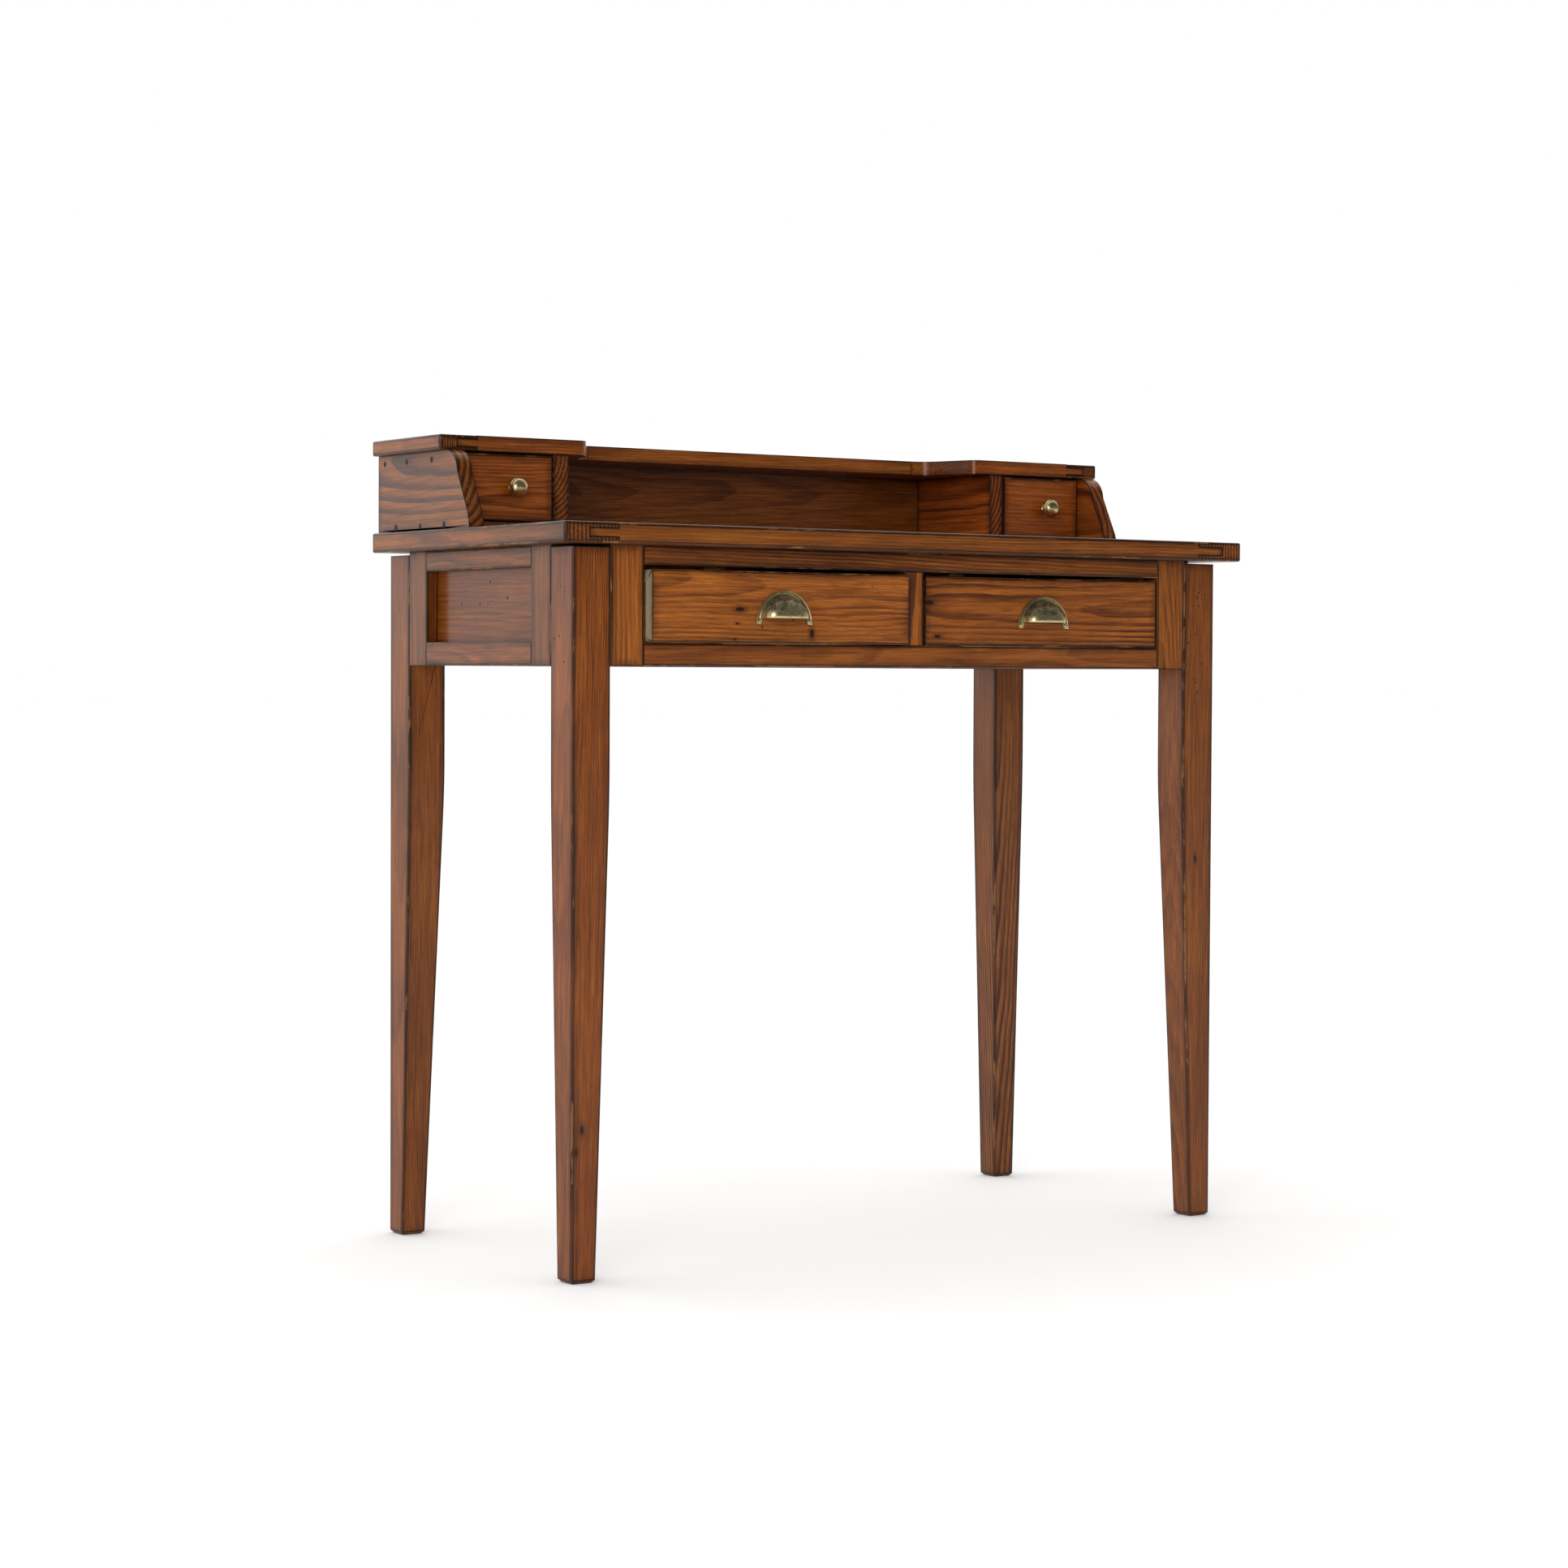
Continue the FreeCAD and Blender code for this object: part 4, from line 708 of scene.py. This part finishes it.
# %% Cup pulls
CUP_PLAN = 2.5  # between an ellipse, 2, and a rectangle
CUP_WALL, CUP_RISE = 0.0016, 0.023
CUP_STEPS, CUP_TURNS, LIP_STEPS, RING_STEPS = 14, 40, 6, 60
RING_WIDTH = 0.0067  # from the outside of the ring to the cup
MOUTH_DROP = 0.0285  # from the top of the ring to the cup's mouth
RING = [  # inwards from the outside of the ring, out from the drawer, rubbed bright
    (0.0, 0.0, 0.2), (0.0, 0.9, 0.5), (0.25, 1.5, 1.0), (0.8, 1.8, 1.0), (1.35, 1.5, 0.8), (1.7, 0.85, 0.0),
    (2.7, 0.75, 0.0), (3.2, 0.95, 0.3), (3.7, 1.55, 0.9), (4.3, 1.7, 1.0), (4.9, 1.4, 0.6), (5.6, 0.9, 0.0),
    (7.4, 0.8, 0.0), (7.4, 0.0, 0.0),
]
SCROLL = [  # the curl at each end of the ring: radius and height
    (3.2, 0.0), (3.2, 1.3), (2.8, 2.0), (2.1, 2.1), (1.7, 1.6), (1.2, 1.7), (0.8, 2.2), (0.0, 2.3),
]
SCROLL_RUB = 0.3, 0.8, 1.0, 0.9, 0.0, 0.4, 1.0, 1.0
SCROLL_IN, SCROLL_UP, SCROLL_SIDES = 0.0034, 0.0028, 24


def plan(angle, half_width, depth):
    """A point on the cup's outline seen from above, from one end of the mouth, 0, to the other, pi."""
    power = 2 / CUP_PLAN
    run = math.cos(angle)
    return math.copysign(abs(run) ** power, run) * half_width, -abs(math.sin(angle)) ** power * depth


def cup_rows(middle, face, mouth, half_width, depth, rise):
    rows = []
    for step in range(CUP_STEPS + 1):
        climb = math.pi / 2 * step / CUP_STEPS
        row = []
        for turn in range(CUP_TURNS + 1):
            x, y = plan(math.pi * turn / CUP_TURNS, half_width, depth)
            row.append((
                middle + x * math.cos(climb), face + y * math.cos(climb), mouth + rise * math.sin(climb),
            ))
        rows.append(row)
    return rows


def cup_pull(node, body):
    low, high = [Vector(corner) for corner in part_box(node)]
    middle, face, depth = (low.x + high.x) / 2, high.y, high.y - low.y
    radius = (high.x - low.x) / 2
    half_width, mouth = radius - RING_WIDTH, high.z - MOUTH_DROP
    outside = cup_rows(middle, face, mouth, half_width, depth, CUP_RISE)
    inside = cup_rows(
        middle, face, mouth, half_width - CUP_WALL, depth - CUP_WALL, CUP_RISE - CUP_WALL,
    )
    lip = []
    for step in range(1, LIP_STEPS):  # a half round that joins the two sheets
        turn = math.pi * step / LIP_STEPS
        share, drop = (1 - math.cos(turn)) / 2, math.sin(turn) * CUP_WALL / 2
        lip.append([
            tuple(Vector(outer).lerp(Vector(inner), share) - Vector((0, 0, drop)))
            for outer, inner in zip(outside[0], inside[0])
        ])
    rows = outside[::-1] + lip + inside
    lip_row = len(outside)
    cup = grid_mesh(
        rows, lambda row, column: max(0.0, 1 - abs(row - lip_row - 1) / 5) + 0.75 * max(0.0, 1 - column / 9),
    )
    bmesh.ops.holes_fill(cup, edges=[edge for edge in cup.edges if len(edge.link_faces) == 1], sides=0)
    centre = high.z - radius
    arch = []
    for step in range(RING_STEPS + 1):
        turn = math.radians(-1 + 182 * step / RING_STEPS)
        arch.append([
            (
                middle + (radius - inward / 1000) * math.cos(turn), face - out / 1000,
                centre + (radius - inward / 1000) * math.sin(turn),
            ) for inward, out, _ in RING
        ])
    ring = grid_mesh(arch, lambda row, column: RING[column][2], closed_columns=True)
    scrolls = [
        turned(
            (middle + way * (radius - SCROLL_IN), face, centre + SCROLL_UP), SCROLL, SCROLL_SIDES, SCROLL_RUB,
        ) for way in (-1, 1)
    ]
    brass_piece(f"{node}_cup", [cup, ring, *scrolls], body, node)


for side in ("left", "right"):
    cup_pull(f"{side}_drawer_pull", f"{side}_drawer")


# %% [markdown]
# ## Turned knobs
# A knob is one outline turned about its axis: a small foot, a thin neck, a round edge and a shallow dome.
# A Screw modifier could turn it too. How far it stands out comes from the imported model's box, and the neck
# takes up whatever length is left.

# %% Knobs
HEAD = 11.0  # thickness of the head, in millimetres as all of the outline is
NECK = 4.0  # radius
EDGE, EDGE_OUT, EDGE_UP = 2.5, 8.55, 2.55  # the round edge's radius, and its middle from axis and underside
EDGE_STEPS, DOME_STEPS, KNOB_SIDES = 8, 12, 48


def knob(node, body):
    low, high = [Vector(corner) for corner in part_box(node)]
    tall = (high.y - low.y) * 1000
    under = tall - HEAD
    outline = [
        (5.25, 0.0), (5.25, 1.0), (4.9, 1.3), (4.2, 2.4), (NECK, 4.0),
        (NECK, under - 0.9), (4.5, under - 0.4), (8.2, under),
    ]
    bright = [0.2, 0.8, 0.6, 0.2, 0.1, 0.3, 0.1, 0.0]
    for step in range(EDGE_STEPS + 1):
        turn = math.radians(-80 + 130 * step / EDGE_STEPS)
        outline.append((EDGE_OUT + EDGE * math.cos(turn), under + EDGE_UP + EDGE * math.sin(turn)))
        bright.append(0.4 + 0.6 * math.cos(turn - 0.3))
    shoulder, start = outline[-1]
    for step in range(1, DOME_STEPS + 1):
        share = step / DOME_STEPS
        turn = math.pi / 2 * share
        outline.append((shoulder * math.cos(turn), start + (tall - start) * math.sin(turn)))
        bright.append(0.55 - 0.3 * share)
    outline[-1] = (0.0, tall)
    foot = ((low.x + high.x) / 2, high.y, (low.z + high.z) / 2)
    brass_piece(f"{node}_turned", [turned(foot, outline, KNOB_SIDES, bright)], body, node)


for side in ("left", "right"):
    knob(f"{side}_small_drawer_knob", f"{side}_small_drawer")

# %% [markdown]
# ## Nail heads and wormholes
# The gallery's ends are held by nails whose dark heads show, and beetles have left round holes in the wood.
# Both are many small copies of one shape that differ only in size. A Geometry Nodes tree makes them: it
# takes bare points that carry the way they face, puts a low, flat-topped cap on each, and gives every one
# its own size from a fixed seed. Cutting real holes would need a boolean on each board. At about 2 mm
# across, a dark cap that is 0.2 mm high looks like a hole from any usual distance: its dark colour is
# painted shade for the inside of the hole.

# %% A tree that puts a low cap on every point
def heads_tree(material):
    tree = bpy.data.node_groups.new("low_caps", "GeometryNodeTree")
    tree.interface.new_socket("Geometry", in_out="INPUT", socket_type="NodeSocketGeometry")
    sockets = {
        name: tree.interface.new_socket(name, in_out="INPUT", socket_type=kind).identifier
        for name, kind in (
            ("Radius", "NodeSocketFloat"), ("Height", "NodeSocketFloat"), ("Unevenness", "NodeSocketFloat"),
            ("Seed", "NodeSocketInt"),
        )
    }
    tree.interface.new_socket("Geometry", in_out="OUTPUT", socket_type="NodeSocketGeometry")

    def add(kind, settings=None, values=()):
        made = tree.nodes.new(kind)
        for key, setting in (settings or {}).items():
            setattr(made, key, setting)
        for key, value in (values.items() if isinstance(values, dict) else enumerate(values)):
            if isinstance(value, bpy.types.NodeSocket):
                tree.links.new(value, made.inputs[key])
            else:
                made.inputs[key].default_value = value
        return made

    given = add("NodeGroupInput").outputs
    head = add("GeometryNodeMeshCone", {"fill_type": "TRIANGLE_FAN"}, {
        "Vertices": 12, "Side Segments": 2, "Radius Top": 0.55, "Radius Bottom": 1.0, "Depth": 1.0,
    })
    flat = add("ShaderNodeCombineXYZ", values=[given["Radius"], given["Radius"], given["Height"]])
    shaped = add("GeometryNodeTransform", values={"Geometry": head.outputs["Mesh"], "Scale": flat.outputs[0]})
    facing = add("GeometryNodeInputNamedAttribute", {"data_type": "FLOAT_VECTOR"}, {"Name": "facing"})
    turn = add("FunctionNodeAlignRotationToVector", {"axis": "Z"}, {"Vector": facing.outputs[0]})
    smallest = add("ShaderNodeMath", {"operation": "SUBTRACT"}, [1.0, given["Unevenness"]])
    largest = add("ShaderNodeMath", {"operation": "ADD"}, [1.0, given["Unevenness"]])
    size = add("FunctionNodeRandomValue", {"data_type": "FLOAT"})
    tree.links.new(smallest.outputs[0], size.inputs[2])
    tree.links.new(largest.outputs[0], size.inputs[3])
    tree.links.new(given["Seed"], size.inputs["Seed"])
    copies = add("GeometryNodeInstanceOnPoints", values={
        "Points": given["Geometry"], "Instance": shaped.outputs[0], "Rotation": turn.outputs[0],
    })
    tree.links.new(size.outputs[1], copies.inputs["Scale"])
    solid = add("GeometryNodeRealizeInstances", values=[copies.outputs[0]])
    coated = add("GeometryNodeSetMaterial", values={"Geometry": solid.outputs[0], "Material": material})
    tree.links.new(coated.outputs[0], add("NodeGroupOutput").inputs[0])
    return tree, sockets


def heads(name, body, points, facing, radius, height, unevenness, seed):
    """One plain mesh of heads on points, for one body."""
    carrier = bpy.data.meshes.new(f"{name}_points")
    carrier.from_pydata(points, [], [])
    ways = carrier.attributes.new("facing", "FLOAT_VECTOR", "POINT")
    ways.data.foreach_set("vector", facing * len(points))
    source = bpy.data.objects.new(f"{name}_points", carrier)
    scene.collection.objects.link(source)
    modifier = source.modifiers.new("heads", "NODES")
    modifier.node_group = HEADS
    for key, value in (("Radius", radius), ("Height", height), ("Unevenness", unevenness), ("Seed", seed)):
        modifier[INPUTS[key]] = value
    bpy.context.view_layer.update()
    mesh = bpy.data.meshes.new_from_object(source.evaluated_get(bpy.context.evaluated_depsgraph_get()))
    source.modifiers.remove(modifier)
    bpy.data.objects.remove(source)
    mesh.name = name
    piece = bpy.data.objects.new(name, mesh)
    scene.collection.objects.link(piece)
    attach(piece, body)
    print(name, len(points), "heads,", len(mesh.polygons), "faces")


# The caps are the nails' dark iron; on the wormholes that dark stands for painted shade inside a hole.
HEADS, INPUTS = heads_tree(METALS["dark_iron"])
print("inputs of the tree:", sorted(INPUTS))

# %% [markdown]
# ## Nails
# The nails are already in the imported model, so each head goes where its nail comes out of the board.

# %% Nails through the gallery's ends
NAIL = 0.0036, 0.0005, 0.15, 7  # radius, height, unevenness and seed
nail_work = bmesh.new()
nail_work.from_mesh(frame["nodes"]["gallery_nails"].data)
bmesh.ops.remove_doubles(nail_work, verts=nail_work.verts, dist=1e-6)
nail_places = {-1: [], 1: []}
for nail in loose_parts(list(nail_work.faces)):
    points = np.array([vertex.co for face in nail for vertex in face.verts])
    low, high = points.min(0), points.max(0)
    way = 1 if low[0] + high[0] > 0 else -1
    outer = high[0] if way > 0 else low[0]
    nail_places[way].append(tuple(float(part) for part in (outer, *(low + high)[1:] / 2)))
nail_work.free()
for way, side in ((-1, "left"), (1, "right")):
    heads(f"{side}_nail_heads", "desk", sorted(nail_places[way]), (way, 0, 0), *NAIL)

# %% [markdown]
# ## Wormholes
# Beetles leave small round holes in loose groups. Their places are drawn from a fixed seed, so that each
# run gives the same ones, and they lie closer together near the middle of a board's face.

# %% Wormholes
HOLE_HEIGHT, HOLE_UNEVENNESS, HOLE_SEED = 0.0002, 0.45, 11
holes = random.Random(5)


def wormholes(name, body, box, count, low_share, high_share, facing, radius):
    """Holes scattered over a stretch of a board's face, closer together near its middle."""
    low, high = Vector(box[0]), Vector(box[1])
    points = []
    for index in range(count):
        across, up = holes.gauss(0.5, 0.16), low_share + (high_share - low_share) * holes.random()
        across = min(max(across, 0.15), 0.85)
        z = low.z + (high.z - low.z) * up
        if facing[1]:
            points.append((low.x + (high.x - low.x) * across, low.y, z))
        else:
            points.append((low.x, low.y + (high.y - low.y) * across, z))
    # Each hole is a dark cap: painted shade for the inside of the hole.
    heads(name, body, points, facing, radius, HOLE_HEIGHT, HOLE_UNEVENNESS, HOLE_SEED)


wormholes("right_leg_wormholes", "desk", RIGHT_LEG, 14, 0.80, 0.97, (0, -1, 0), 0.0010)
wormholes("left_leg_wormholes", "desk", LEFT_LEG, 5, 0.72, 0.95, (-1, 0, 0), 0.0009)
wormholes("left_drawer_wormholes", "left_drawer", LEFT_FACE, 5, 0.10, 0.85, (0, -1, 0), 0.0009)
wormholes("left_panel_wormholes", "desk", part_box("left_side_panel"), 5, 0.40, 0.78, (-1, 0, 0), 0.0012)

# %% [markdown]
# ## Floor and light
# The desk stands on a plain pale floor. A world that is brighter behind the desk than in front of it lights
# its sides more than its front, and one soft lamp adds shape. Rays that leave a shiny surface see a darker
# front and a brighter back than that, which keeps the varnish on the drawer fronts from turning milky. This
# is a studio trick and not a real room. The backdrop itself is plain white.

# %% Stage
scene.view_settings.view_transform = "Standard"
floor_mesh = bpy.data.meshes.new("floor")
FLOOR = 40.0  # from the middle to each side
floor_mesh.from_pydata(
    [(-FLOOR, -FLOOR, 0), (FLOOR, -FLOOR, 0), (FLOOR, FLOOR, 0), (-FLOOR, FLOOR, 0)], [], [(0, 1, 2, 3)],
)
floor = bpy.data.objects.new("floor", floor_mesh)
scene.collection.objects.link(floor)
floor_paint = Paint("pale_floor")
floor_mesh.materials.append(floor_paint.finish({
    "Base Color": (0.93, 0.93, 0.93, 1), "Roughness": 0.9, "Specular IOR Level": 0.1,
}))

world = bpy.data.worlds.new("studio")
world.use_nodes = True
scene.world = world
sky = world.node_tree
sky.nodes.clear()


TURN = 0.45  # the strength changes over directions whose Y lies between minus this and this
ROOM_LIGHT, REFLECTED_LIGHT = (0.85, 1.45), (0.08, 2.00)  # in front and behind


def sky_node(kind, **settings):
    made = sky.nodes.new(kind)
    for key, setting in settings.items():
        setattr(made, key, setting)
    return made


def along_y(front, back):
    """A strength that goes from front to back of the room."""
    spread = sky_node("ShaderNodeMapRange")
    for name, value in (("From Min", -TURN), ("From Max", TURN), ("To Min", front), ("To Max", back)):
        spread.inputs[name].default_value = value
    sky.links.new(parts.outputs["Y"], spread.inputs["Value"])
    return spread.outputs["Result"]


def choose(ray, otherwise, wanted):
    """The wanted strength for one kind of ray, and the other strength for the rest."""
    pick = sky_node("ShaderNodeMix", data_type="FLOAT")
    sky.links.new(path.outputs[ray], pick.inputs[0])
    sky.links.new(otherwise, pick.inputs[2])
    if isinstance(wanted, float):
        pick.inputs[3].default_value = wanted
    else:
        sky.links.new(wanted, pick.inputs[3])
    return pick.outputs[0]


way, parts = sky_node("ShaderNodeTexCoord"), sky_node("ShaderNodeSeparateXYZ")
path, glow, out = [
    sky_node(kind) for kind in ("ShaderNodeLightPath", "ShaderNodeBackground", "ShaderNodeOutputWorld")
]
glow.inputs["Color"].default_value = (1, 1, 1, 1)
sky.links.new(way.outputs["Generated"], parts.inputs[0])
strength = choose("Is Glossy Ray", along_y(*ROOM_LIGHT), along_y(*REFLECTED_LIGHT))
sky.links.new(choose("Is Camera Ray", strength, 1.0), glow.inputs["Strength"])
sky.links.new(glow.outputs[0], out.inputs[0])


def softbox(name, place, target, size, power):
    light = bpy.data.lights.new(name, "AREA")
    light.shape, light.size, light.energy = "SQUARE", size, power
    lamp = bpy.data.objects.new(name, light)
    lamp.location = place
    lamp.rotation_euler = (Vector(target) - Vector(place)).to_track_quat("-Z", "Y").to_euler()
    scene.collection.objects.link(lamp)


softbox("key", (-2.9, -2.9, 1.5), (0, 0, 0.65), 1.3, 40)
